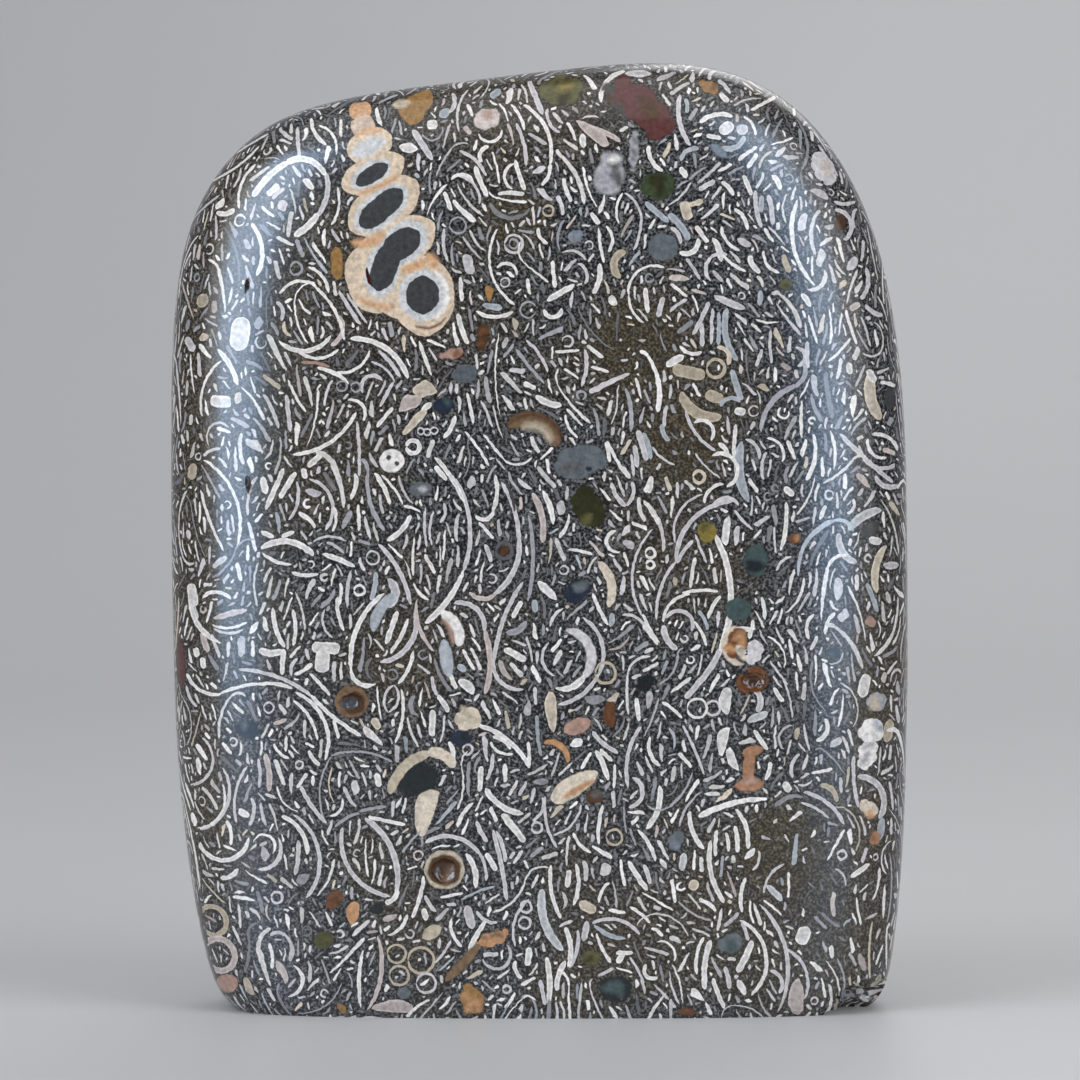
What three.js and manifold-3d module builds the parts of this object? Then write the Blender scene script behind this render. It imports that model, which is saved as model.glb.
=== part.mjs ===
// A freeform of fossil shell rock (turritella agate): one block, ground with broad planes,
// rounded over, polished all round and cut off flat underneath so that it stands upright.
// Millimetres, +Z up. The origin is the middle of the cut base, and the broad faces look
// along -Y (front) and +Y (back).
import * as THREE from 'three';
import { mergeVertices } from 'three/addons/utils/BufferGeometryUtils.js';
import Module from 'manifold-3d';

// Driving dimensions of the block.
const HEIGHT = 150;
const WIDTH = 117;
const THICKNESS = 48;
const MIDDLE = HEIGHT / 2; // height of the point that every plane is measured from

// The planes that shape the outline, seen from the front. Angle is where each one faces, in
// degrees anticlockwise from +X, and reach is its distance from the middle of the block.
const OUTLINE_PLANES = [
  { name: 'right foot', angle: -14, reach: 73.4 },
  { name: 'right side', angle: 0.6, reach: 58.6 },
  { name: 'right shoulder', angle: 23, reach: 69.4 },
  { name: 'right crown', angle: 57, reach: 81.4 },
  { name: 'top', angle: 97, reach: 73.2 },
  { name: 'left crown', angle: 143.5, reach: 76.6 },
  { name: 'left side', angle: 180, reach: 58.7 },
  { name: 'left foot', angle: 196.5, reach: 71.3 },
];

// The broad faces. Side is which way along Y each one looks, turn swings it about the
// vertical, lean tips it upwards, both in degrees, and reach is as above. The back was
// ground in two planes that meet in a soft ridge.
const BROAD_FACES = [
  { name: 'front', side: -1, turn: 0, lean: 1, reach: 22.95 },
  { name: 'back left', side: 1, turn: -10, lean: 1, reach: 26.7 },
  { name: 'back right', side: 1, turn: 8, lean: 2, reach: 25.7 },
];

const OUTLINE_BLEND = 15.4; // higher leaves tighter corners between the outline's planes
const FACE_BLEND = 4; // how squarely the broad faces turn into the sides
const BASE_BLEND = 22; // the foot turns under tightly
const BASE_REACH = MIDDLE + 1.5; // the foot is rounded over just below where it is sawn off

// Segments of the surface grid along X, Y and Z.
const GRID = { x: 28, y: 12, z: 36 };

// The bite broken out of the front right corner of the base: a lumpy ball that is cut away.
const CHIP = { x: 54, y: -17, z: -0.5, radii: [9.5, 10.5, 6], detail: 3, lumpiness: 0.08 };

// The unit vectors that the planes face along.
function outlineNormal({ angle }) {
  const turn = THREE.MathUtils.degToRad(angle);
  return new THREE.Vector3(Math.cos(turn), 0, Math.sin(turn));
}

function faceNormal({ side, turn, lean }) {
  const swing = THREE.MathUtils.degToRad(turn);
  const tip = THREE.MathUtils.degToRad(lean);
  const level = Math.cos(tip);
  return new THREE.Vector3(Math.sin(swing) * level, side * Math.cos(swing) * level, Math.sin(tip));
}

// A group of planes blended into one: the sum of each one's share of the way, to a power.
function blendSum(point, planes, normalOf, power) {
  const shares = planes.map((plane) => Math.max(0, point.dot(normalOf(plane)) / plane.reach));
  return shares.reduce((sum, share) => sum + share ** power, 0);
}

// How far out a point is from the middle: 1 on the surface, and in proportion elsewhere.
function gauge(point) {
  const outline = blendSum(point, OUTLINE_PLANES, outlineNormal, OUTLINE_BLEND);
  const faces = blendSum(point, BROAD_FACES, faceNormal, FACE_BLEND);
  const rounded = (outline ** (FACE_BLEND / OUTLINE_BLEND) + faces) ** (1 / FACE_BLEND);
  const base = Math.max(0, -point.z / BASE_REACH);
  return (rounded ** BASE_BLEND + base ** BASE_BLEND) ** (1 / BASE_BLEND);
}

// Moves each vertex of a geometry to the place that a function puts it.
function moveVertices(geometry, move) {
  const place = geometry.attributes.position;
  const point = new THREE.Vector3();
  for (let i = 0; i < place.count; i++) {
    point.fromBufferAttribute(place, i);
    move(point);
    place.setXYZ(i, point.x, point.y, point.z);
  }
  return geometry;
}

// A box grid drawn in, along rays from the middle, to where the gauge is 1.
function blockGeometry() {
  const grid = new THREE.BoxGeometry(WIDTH, THICKNESS, HEIGHT, GRID.x, GRID.y, GRID.z);
  moveVertices(grid, (point) => point.divideScalar(gauge(point)));
  return grid.translate(0, 0, MIDDLE);
}

// What the saw takes off underneath: everything below the base.
function sawnOffGeometry() {
  const depth = 10;
  return new THREE.BoxGeometry(2 * WIDTH, 2 * THICKNESS, depth).translate(0, 0, -depth / 2);
}

// The lumpy ball whose skin is the broken surface of the chip.
function chipGeometry() {
  const ball = new THREE.IcosahedronGeometry(1, CHIP.detail);
  moveVertices(ball, (point) => {
    const wave = Math.sin(5 * point.x + 1) * Math.sin(6 * point.y) + Math.sin(7 * point.z + 2);
    point.multiplyScalar(1 + CHIP.lumpiness * wave);
  });
  return ball.scale(...CHIP.radii).translate(CHIP.x, CHIP.y, CHIP.z);
}

const wasm = await Module();
wasm.setup();

// A closed geometry as a solid that can be cut.
function toSolid(geometry) {
  geometry.deleteAttribute('normal');
  geometry.deleteAttribute('uv');
  const merged = mergeVertices(geometry, 1e-3);
  return new wasm.Manifold(
    new wasm.Mesh({
      numProp: 3,
      vertProperties: new Float32Array(merged.attributes.position.array),
      triVerts: new Uint32Array(merged.index.array),
    }),
  );
}

// A solid's skin as a geometry.
function toGeometry(solid) {
  const mesh = solid.getMesh();
  const geometry = new THREE.BufferGeometry();
  geometry.setAttribute('position', new THREE.BufferAttribute(mesh.vertProperties, mesh.numProp));
  geometry.setIndex(new THREE.BufferAttribute(mesh.triVerts, 1));
  geometry.computeVertexNormals();
  return geometry;
}

// The whole freeform: one stone, sawn flat underneath, with its chip broken out.
function makeStone() {
  const block = toSolid(blockGeometry()).subtract(toSolid(sawnOffGeometry()));
  const chipped = block.subtract(toSolid(chipGeometry()));
  const polishedRock = new THREE.MeshStandardMaterial({
    color: new THREE.Color(0.34, 0.33, 0.32),
    roughness: 0.22,
    metalness: 0,
  });
  const stone = new THREE.Mesh(toGeometry(chipped), polishedRock);
  stone.name = 'stone';
  return stone;
}

const freeform = new THREE.Group();
freeform.name = 'turritella_agate_freeform';
freeform.add(makeStone());

export default freeform;
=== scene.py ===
"""The looks of a turritella agate freeform: one polished block packed with fossil shells.

The block's own shape follows one rule, a set of ground planes blended into each other, and a
Geometry Nodes tree makes it. A bed of shell sections is then packed over the whole surface, and
each face of the mesh carries the few shells that cross it, so that one material draws them all.
Sizes are millimetres in this file, and turn into metres where they reach Blender.
"""

import logging
from cmath import phase, rect
from dataclasses import dataclass, fields, replace
from enum import Enum
from math import ceil, cos, degrees, pi, radians, sin
from typing import Iterable, Optional, Union

import bpy
import numpy as np
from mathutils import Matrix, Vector
from mathutils.kdtree import KDTree


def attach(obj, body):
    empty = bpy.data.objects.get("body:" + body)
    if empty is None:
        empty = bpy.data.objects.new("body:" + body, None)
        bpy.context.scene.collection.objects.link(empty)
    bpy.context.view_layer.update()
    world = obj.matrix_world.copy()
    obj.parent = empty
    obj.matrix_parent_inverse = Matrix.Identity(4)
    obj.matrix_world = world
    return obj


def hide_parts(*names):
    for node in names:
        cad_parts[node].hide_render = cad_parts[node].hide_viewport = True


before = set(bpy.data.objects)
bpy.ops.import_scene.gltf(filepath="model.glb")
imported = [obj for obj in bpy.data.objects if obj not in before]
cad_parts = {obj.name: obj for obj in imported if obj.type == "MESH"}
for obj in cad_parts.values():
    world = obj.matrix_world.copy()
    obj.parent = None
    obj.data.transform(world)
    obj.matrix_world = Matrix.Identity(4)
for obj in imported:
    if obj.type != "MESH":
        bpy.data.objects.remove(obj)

LOG = logging.getLogger("freeform")
MM = 0.001
SLOTS = 7  # how many shells one face of the mesh can carry
Pair = tuple[float, float]
Triple = tuple[float, float, float]
Value = Union["Sock", float]


def linear(*srgb: float) -> Triple:
    """Turns a colour as the eye names it into the linear values that a shader takes.

    Args:
        srgb: Red, green and blue, from 0 to 255.

    Returns:
        The linear red, green and blue.
    """
    parts = (value / 255 for value in srgb)
    return tuple(p / 12.92 if p <= 0.04045 else ((p + 0.055) / 1.055) ** 2.4 for p in parts)


# ---------------------------------------------------------------------------------------------
# Nodes
# ---------------------------------------------------------------------------------------------


class Sock:
    """A socket that ordinary arithmetic adds nodes to."""

    def __init__(self, nodes: "Nodes", socket: bpy.types.NodeSocket) -> None:
        """Keeps the socket and the nodes that it belongs to.

        Args:
            nodes: The tree that new nodes join.
            socket: The output that this stands for.
        """
        self.nodes = nodes
        self.socket = socket

    def math(self, operation: str, *others: Value, clamp: bool = False) -> "Sock":
        """Adds a Math node that starts from this socket.

        Args:
            operation: The node's operation.
            others: Its further operands.
            clamp: Whether the result is held between 0 and 1.

        Returns:
            The result.
        """
        return self.nodes.math(operation, self, *others, clamp=clamp)

    def __add__(self, other: Value) -> "Sock":
        """Adds two values."""
        return self.math("ADD", other)

    def __radd__(self, other: Value) -> "Sock":
        """Adds two values, this one second."""
        return self.nodes.math("ADD", other, self)

    def __sub__(self, other: Value) -> "Sock":
        """Takes another value away."""
        return self.math("SUBTRACT", other)

    def __rsub__(self, other: Value) -> "Sock":
        """Takes this value away from another."""
        return self.nodes.math("SUBTRACT", other, self)

    def __mul__(self, other: Value) -> "Sock":
        """Multiplies two values."""
        return self.math("MULTIPLY", other)

    def __rmul__(self, other: Value) -> "Sock":
        """Multiplies two values, this one second."""
        return self.nodes.math("MULTIPLY", other, self)

    def __truediv__(self, other: Value) -> "Sock":
        """Divides by another value."""
        return self.math("DIVIDE", other)

    def __rtruediv__(self, other: Value) -> "Sock":
        """Divides another value by this one."""
        return self.nodes.math("DIVIDE", other, self)

    def __pow__(self, power: Value) -> "Sock":
        """Raises this value to a power."""
        return self.math("POWER", power)

    def __abs__(self) -> "Sock":
        """Drops the sign."""
        return self.math("ABSOLUTE")

    def above(self, floor: Value) -> "Sock":
        """The larger of this value and another."""
        return self.math("MAXIMUM", floor)

    def below(self, ceiling: Value) -> "Sock":
        """The smaller of this value and another."""
        return self.math("MINIMUM", ceiling)

    def rise(self, start: float, end: float) -> "Sock":
        """Goes smoothly from 0 at start to 1 at end, or the other way where end is lower.

        Args:
            start: The value that gives 0.
            end: The value that gives 1.

        Returns:
            The smooth step.
        """
        low, high, first, last = (start, end, 0.0, 1.0) if start < end else (end, start, 1.0, 0.0)
        limits = {"From Min": low, "From Max": high, "To Min": first, "To Max": last}
        settings = {"interpolation_type": "SMOOTHSTEP"}
        return self.nodes.out("ShaderNodeMapRange", settings, {"Value": self, **limits})


class Nodes:
    """One node tree, and short ways to add to it."""

    def __init__(self, tree: bpy.types.NodeTree) -> None:
        """Keeps the tree.

        Args:
            tree: A shader tree or a geometry tree.
        """
        self.tree = tree

    def node(
        self, kind: str, settings: Optional[dict] = None, sockets: Optional[dict] = None
    ) -> bpy.types.Node:
        """Adds a node of any type.

        Args:
            kind: The node's type.
            settings: Its settings, which are set first.
            sockets: What its inputs hold or are linked to, by name, identifier or number.

        Returns:
            The node.
        """
        made = self.tree.nodes.new(kind)
        for name, setting in (settings or {}).items():
            setattr(made, name, setting)
        for name, content in (sockets or {}).items():
            for each in content if isinstance(content, list) else [content]:
                self._fill(self._find(made, name), each)
        return made

    @staticmethod
    def _find(node: bpy.types.Node, name: Union[str, int]) -> bpy.types.NodeSocket:
        """Finds one of a node's inputs.

        Args:
            node: The node.
            name: The input's number, its identifier or its name.

        Returns:
            The input.
        """
        if isinstance(name, int):
            return node.inputs[name]
        by_identifier = [socket for socket in node.inputs if socket.identifier == name]
        return by_identifier[0] if by_identifier else node.inputs[name]

    def _fill(self, socket: bpy.types.NodeSocket, content: object) -> None:
        """Links an input, or sets what it holds.

        Args:
            socket: The input.
            content: An output that it is linked to, or a value.
        """
        if isinstance(content, Sock):
            self.tree.links.new(content.socket, socket)
        elif isinstance(content, bpy.types.NodeSocket):
            self.tree.links.new(content, socket)
        elif isinstance(content, tuple) and socket.type == "RGBA":
            socket.default_value = (*content, 1.0)
        else:
            socket.default_value = content

    def out(
        self,
        kind: str,
        settings: Optional[dict] = None,
        sockets: Optional[dict] = None,
        name: Union[str, int] = 0,
    ) -> Sock:
        """Adds a node and gives one of its outputs.

        Args:
            kind: The node's type.
            settings: Its settings.
            sockets: What its inputs hold or are linked to.
            name: Which output.

        Returns:
            The output.
        """
        made = self.node(kind, settings, sockets)
        return Sock(self, made.outputs[name])

    def math(self, operation: str, *operands: Value, clamp: bool = False) -> Sock:
        """Adds a Math node.

        Args:
            operation: The node's operation.
            operands: Its operands, in order.
            clamp: Whether the result is held between 0 and 1.

        Returns:
            The result.
        """
        settings = {"operation": operation, "use_clamp": clamp}
        return self.out("ShaderNodeMath", settings, dict(enumerate(operands)))

    def vector(self, operation: str, *operands: object) -> Sock:
        """Adds a Vector Math node whose result is a vector."""
        return self.out("ShaderNodeVectorMath", {"operation": operation}, dict(enumerate(operands)))

    def dot(self, first: object, second: object) -> Sock:
        """The dot product of two vectors."""
        settings = {"operation": "DOT_PRODUCT"}
        return self.out("ShaderNodeVectorMath", settings, {0: first, 1: second}, "Value")

    def split(self, vector: Sock) -> tuple[Sock, Sock, Sock]:
        """Takes a vector apart into its three numbers."""
        made = self.node("ShaderNodeSeparateXYZ", None, {0: vector})
        return tuple(Sock(self, output) for output in made.outputs)

    def mix(self, factor: Value, first: object, second: object, blend: str = "MIX") -> Sock:
        """Mixes two colours.

        Args:
            factor: How much of the second shows.
            first: A colour, or a socket that gives one.
            second: The same, for the other end.
            blend: How they meet.

        Returns:
            The mixed colour.
        """
        settings = {"data_type": "RGBA", "blend_type": blend}
        sockets = {"Factor_Float": factor, "A_Color": first, "B_Color": second}
        colour_output = 2
        return self.out("ShaderNodeMix", settings, sockets, colour_output)

    def thrice(self, value: Sock) -> Sock:
        """A vector or a grey that holds one number three times."""
        return self.out("ShaderNodeCombineXYZ", None, {0: value, 1: value, 2: value})

    def noise(self, place: Sock, size: float, detail: float = 2.0, name: str = "Fac") -> Sock:
        """Smooth noise whose lumps are about one size.

        Args:
            place: Where it is read, in millimetres.
            size: How far apart the lumps are, in millimetres.
            detail: How many finer octaves it has.
            name: Which of the node's outputs is wanted.

        Returns:
            The noise, about 0.5 on average.
        """
        sockets = {"Vector": place, "Scale": 1 / size, "Detail": detail}
        return self.out("ShaderNodeTexNoise", None, sockets, name)


# ---------------------------------------------------------------------------------------------
# The block
# ---------------------------------------------------------------------------------------------


@dataclass(frozen=True)
class Plane:
    """One plane that the block was ground with."""

    normal: Triple
    reach: float

    @classmethod
    def outline(cls, angle: float, reach: float) -> "Plane":
        """A plane of the outline, which faces at an angle anticlockwise from +X."""
        turn = radians(angle)
        return cls((cos(turn), 0.0, sin(turn)), reach)

    @classmethod
    def broad(cls, side: int, turn: float, lean: float, reach: float) -> "Plane":
        """A broad face, which looks along -Y or +Y, swung about the vertical and leant up."""
        swing, tip = radians(turn), radians(lean)
        return cls((sin(swing) * cos(tip), side * cos(swing) * cos(tip), sin(tip)), reach)


@dataclass(frozen=True)
class Hollow:
    """A place where the surface is broken or was never filled: a lumpy ball cut from it.

    Where side is -1 or 1, its middle is moved along Y onto the front or the back.
    """

    at: Triple
    radii: Triple
    turn: float = 0.0
    lumps: float = 0.16
    side: int = 0
    fineness: int = 4


@dataclass
class Block:
    """The polished block: ground planes blended into each other, sawn flat underneath."""

    size: Triple = (117.0, 48.0, 150.0)
    cells: tuple[int, int, int] = (140, 58, 180)
    outline_blend: float = 15.4
    face_blend: float = 4.0
    base_blend: float = 22.0
    base_overcut: float = 1.5
    waver: float = 0.22  # how far the hand-held polish strays from the planes
    waver_size: float = 26.0
    outline: tuple[Plane, ...] = (
        Plane.outline(-14, 73.4),
        Plane.outline(0.6, 58.6),
        Plane.outline(23, 69.4),
        Plane.outline(57, 81.4),
        Plane.outline(97, 73.2),
        Plane.outline(143.5, 76.6),
        Plane.outline(180, 58.7),
        Plane.outline(196.5, 71.3),
    )
    broad: tuple[Plane, ...] = (
        Plane.broad(-1, 0, 1, 22.95),
        Plane.broad(1, -10, 1, 26.7),
        Plane.broad(1, 8, 2, 25.7),
    )
    crease: float = 38.0  # an edge is sharp where its faces meet at more than this, in degrees
    hollows: tuple[Hollow, ...] = (
        Hollow(at=(54.0, -17.0, -0.5), radii=(9.5, 10.5, 6.0), lumps=0.2, fineness=5),
        Hollow(at=(-29.3, 0.0, 49.5), radii=(1.5, 1.1, 1.4), side=-1),
        Hollow(at=(-14.9, 0.0, 23.2), radii=(2.1, 1.3, 2.0), lumps=0.08, side=-1),
        Hollow(at=(33.3, 0.0, 52.7), radii=(2.0, 1.3, 1.5), side=-1),
        Hollow(at=(31.4, 0.0, 57.4), radii=(0.8, 0.6, 0.7), side=-1),
        Hollow(at=(-45.8, 0.0, 114.6), radii=(0.4, 0.7, 1.3), turn=10.0, side=-1),
        Hollow(at=(-45.6, 0.0, 83.4), radii=(0.5, 0.7, 1.5), turn=-8.0, side=-1),
        Hollow(at=(18.0, 0.0, 96.0), radii=(1.7, 1.1, 2.2), turn=25.0, side=1),
        Hollow(at=(-24.0, 0.0, 60.0), radii=(1.1, 0.9, 1.6), turn=-30.0, side=1),
        Hollow(at=(31.0, 0.0, 34.0), radii=(0.9, 0.7, 0.8), side=1),
    )

    @property
    def middle(self) -> float:
        """The height of the point that every plane is measured from."""
        return self.size[2] / 2

    def gauge(self, points: np.ndarray) -> np.ndarray:
        """How far out points are from the middle: 1 on the surface, in proportion elsewhere.

        Args:
            points: Places in millimetres, one to a row.

        Returns:
            The gauge at each.
        """
        offset = points - np.array([0, 0, self.middle], points.dtype)
        outline = sum(self._shares(offset, plane, self.outline_blend) for plane in self.outline)
        faces = sum(self._shares(offset, plane, self.face_blend) for plane in self.broad)
        rounded = (outline ** (self.face_blend / self.outline_blend) + faces) ** (1 / self.face_blend)
        base = np.maximum(0, -offset[..., 2] / (self.middle + self.base_overcut))
        return (rounded**self.base_blend + base**self.base_blend) ** (1 / self.base_blend)

    @staticmethod
    def _shares(offset: np.ndarray, plane: Plane, power: float) -> np.ndarray:
        """Each point's share of the way to a plane, to a power."""
        normal = np.array(plane.normal, offset.dtype)
        return np.maximum(0, offset @ normal / plane.reach) ** power

    def slopes(self, points: np.ndarray) -> np.ndarray:
        """The gradient of the gauge, which points straight out of the surface.

        Args:
            points: Places in millimetres, one to a row.

        Returns:
            A gradient for each row.
        """
        step = 0.05
        columns = []
        for side in np.eye(3) * step:
            columns.append((self.gauge(points + side) - self.gauge(points - side)) / (2 * step))
        return np.stack(columns, -1)

    def skin(self, x: float, z: float, side: int = -1) -> np.ndarray:
        """The point of the front or the back that lies at a place in the front view.

        Args:
            x: Millimetres to the right.
            z: Millimetres up.
            side: -1 for the front, 1 for the back.

        Returns:
            The point on the surface, or in the middle of the thickness outside the outline.
        """
        far, near = side * self.size[1], 0.0
        halvings = 30
        for _ in range(halvings):
            y = (near + far) / 2
            outside = self.gauge(np.array([[x, y, z]]))[0] > 1
            far, near = (y, near) if outside else (far, y)
        return np.array([x, near, z])

    def tree(self) -> tuple[bpy.types.NodeTree, dict[str, str]]:
        """Builds the Geometry Nodes tree that makes the block.

        Returns:
            The tree, and each named input's identifier.
        """
        group = bpy.data.node_groups.new("polished_block", "GeometryNodeTree")
        inputs = {}
        wanted = {"Size": "Vector", "Cells": "Vector", "Waver": "Float", "Finish": "Material"}
        for name, kind in wanted.items():
            socket_type = f"NodeSocket{kind}"
            socket = group.interface.new_socket(name, in_out="INPUT", socket_type=socket_type)
            inputs[name] = socket.identifier
        group.interface.new_socket("Geometry", in_out="OUTPUT", socket_type="NodeSocketGeometry")
        nodes = Nodes(group)
        given = nodes.node("NodeGroupInput")
        size, cells, waver = (Sock(nodes, given.outputs[name]) for name in ("Size", "Cells", "Waver"))
        grids = [cells_along + 1 for cells_along in nodes.split(cells)]
        counts = {f"Vertices {axis}": count for axis, count in zip("XYZ", grids)}
        grid = nodes.out("GeometryNodeMeshCube", None, {"Size": size, **counts})
        place = nodes.out("GeometryNodeInputPosition")
        shaped = self._drawn_in(nodes, place, waver)
        block = nodes.out("GeometryNodeSetPosition", None, {0: grid, "Position": shaped})
        saw = self._saw(nodes, size, counts)
        hollows = [self._cutter(nodes, hollow) for hollow in self.hollows]
        for cutter in (saw, nodes.out("GeometryNodeJoinGeometry", None, {0: hollows})):
            settings = {"operation": "DIFFERENCE", "solver": "MANIFOLD"}
            block = nodes.out("GeometryNodeMeshBoolean", settings, {0: block, 1: cutter})
        whole = nodes.out("GeometryNodeRealizeInstances", None, {0: block})
        smooth = nodes.out("GeometryNodeSetShadeSmooth", None, {0: whole})
        finish = given.outputs["Finish"]
        dressed = nodes.out("GeometryNodeSetMaterial", None, {0: smooth, "Material": finish})
        nodes.node("NodeGroupOutput", None, {0: dressed})
        return group, inputs

    def _drawn_in(self, nodes: Nodes, place: Sock, waver: Sock) -> Sock:
        """Draws a place in, along its ray from the middle, to where the gauge is 1.

        Args:
            nodes: The tree.
            place: The place, measured from the middle, in metres.
            waver: How far the surface strays from the rule, in metres.

        Returns:
            The place on the surface, measured from the base.
        """
        outline = self._blended(nodes, place, self.outline, self.outline_blend)
        faces = self._blended(nodes, place, self.broad, self.face_blend)
        rounded = (outline ** (self.face_blend / self.outline_blend) + faces) ** (1 / self.face_blend)
        depth = (self.middle + self.base_overcut) * MM
        base = nodes.dot(place, (0.0, 0.0, -1 / depth)).above(0.0)
        gauge = (rounded**self.base_blend + base**self.base_blend) ** (1 / self.base_blend)
        on_surface = nodes.vector("DIVIDE", place, nodes.thrice(gauge))
        length = nodes.out("ShaderNodeVectorMath", {"operation": "LENGTH"}, {0: on_surface}, "Value")
        stray = nodes.noise(on_surface, self.waver_size * MM, 1.0) - 0.5
        scale = 1.0 + stray * waver / length
        wavered = nodes.vector("MULTIPLY", on_surface, nodes.thrice(scale))
        return nodes.vector("ADD", wavered, (0.0, 0.0, self.middle * MM))

    @staticmethod
    def _blended(nodes: Nodes, place: Sock, planes: Iterable[Plane], power: float) -> Sock:
        """The sum over some planes of a place's share of the way to each, to a power.

        Args:
            nodes: The tree.
            place: The place, measured from the middle, in metres.
            planes: The planes.
            power: How tightly they meet.

        Returns:
            The sum.
        """
        total: Value = 0.0
        for plane in planes:
            along = tuple(part / (plane.reach * MM) for part in plane.normal)
            total = nodes.dot(place, along).above(0.0) ** power + total
        return total

    @staticmethod
    def _saw(nodes: Nodes, size: Sock, counts: dict[str, Sock]) -> Sock:
        """Makes what the saw takes off underneath, with a grid as fine as the block's own.

        Args:
            nodes: The tree.
            size: The block's size, in metres.
            counts: How many vertices the block's grid has each way, by the input's name.

        Returns:
            The slab.
        """
        depth = 0.01
        around = 1.1
        width, thickness, _ = nodes.split(size)
        slab_size = {0: width * around, 1: thickness * around, 2: depth}
        slab = nodes.out("ShaderNodeCombineXYZ", None, slab_size)
        grid = {"Size": slab, "Vertices X": counts["Vertices X"], "Vertices Y": counts["Vertices Y"]}
        made = nodes.out("GeometryNodeMeshCube", None, {**grid, "Vertices Z": 2})
        lowered = {"Geometry": made, "Translation": (0.0, 0.0, -depth / 2)}
        return nodes.out("GeometryNodeTransform", None, lowered)

    def _cutter(self, nodes: Nodes, hollow: Hollow) -> Sock:
        """Makes the lumpy ball that one hollow is cut with.

        Args:
            nodes: The tree.
            hollow: The hollow.

        Returns:
            The ball.
        """
        apart, lump_size, swing = 7.0, 0.55, 4 * hollow.lumps
        at = hollow.at
        if hollow.side != 0:
            at = tuple(self.skin(at[0], at[2], hollow.side))
        ball_size = {"Radius": 1.0, "Subdivisions": hollow.fineness}
        ball = nodes.out("GeometryNodeMeshIcoSphere", None, ball_size)
        place = nodes.out("GeometryNodeInputPosition")
        spread = nodes.vector("ADD", place, tuple(part * apart for part in hollow.at))
        lumps = 1.0 + (nodes.noise(spread, lump_size, 3.0) - 0.5) * swing
        shaped = nodes.vector("MULTIPLY", place, nodes.thrice(lumps))
        rough = nodes.out("GeometryNodeSetPosition", None, {0: ball, "Position": shaped})
        settings = {
            "Geometry": rough,
            "Translation": tuple(float(part) * MM for part in at),
            "Rotation": (0.0, radians(hollow.turn), 0.0),
            "Scale": tuple(part * MM for part in hollow.radii),
        }
        return nodes.out("GeometryNodeTransform", None, settings)

    def mesh(self, material: bpy.types.Material) -> bpy.types.Mesh:
        """Makes the block as a plain mesh.

        Args:
            material: The polished rock.

        Returns:
            The mesh, in metres, with its place in its vertices.
        """
        group, inputs = self.tree()
        holder = bpy.data.objects.new("block_rule", bpy.data.meshes.new("block_rule"))
        bpy.context.scene.collection.objects.link(holder)
        modifier = holder.modifiers.new("rule", "NODES")
        modifier.node_group = group
        modifier[inputs["Size"]] = [part * MM for part in self.size]
        modifier[inputs["Cells"]] = [float(part) for part in self.cells]
        modifier[inputs["Waver"]] = self.waver * MM * 2  # noise strays half this far each way
        modifier[inputs["Finish"]] = material
        evaluated = holder.evaluated_get(bpy.context.evaluated_depsgraph_get())
        made = bpy.data.meshes.new_from_object(evaluated)
        bpy.data.objects.remove(holder)
        made.name = "polished_stone"
        made.set_sharp_from_angle(angle=radians(self.crease))
        return made


# ---------------------------------------------------------------------------------------------
# The shells
# ---------------------------------------------------------------------------------------------


class Tint(Enum):
    """The colours of shells, pebbles and fillings, as the eye names them."""

    WHITE = (246, 243, 241)
    PEARL = (218, 215, 218)
    GREY = (172, 172, 179)
    DULL = (132, 132, 136)
    HAZE = (98, 99, 102)
    SHADE = (76, 76, 76)
    CREAM = (224, 212, 194)
    BEIGE = (198, 186, 166)
    PINK = (212, 200, 196)
    ROSE = (180, 148, 134)
    BLUISH = (184, 191, 199)
    SKY = (132, 143, 158)
    OCHRE = (162, 124, 76)
    KHAKI = (140, 124, 62)
    BRONZE = (126, 102, 78)
    CLAY = (172, 128, 98)
    ORANGE = (196, 150, 110)
    RUST = (118, 76, 48)
    OLIVE = (96, 94, 56)
    LODEN = (50, 50, 26)
    MOSS = (62, 76, 50)
    MAROON = (98, 60, 58)
    SLATE = (104, 112, 118)
    NAVY = (38, 48, 64)
    TEAL = (70, 88, 88)
    INK = (30, 38, 42)
    UMBER = (84, 58, 38)
    TAN = (226, 207, 184)
    FLESH = (214, 193, 176)
    APRICOT = (216, 172, 134)
    MILK = (214, 217, 220)
    FILL = (66, 69, 72)
    # The dark red-brown of a narrow slit in the turret, with the painted shade of the open crack in it.
    SLIT_BROWN_AND_SHADE = (60, 22, 14)


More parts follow.
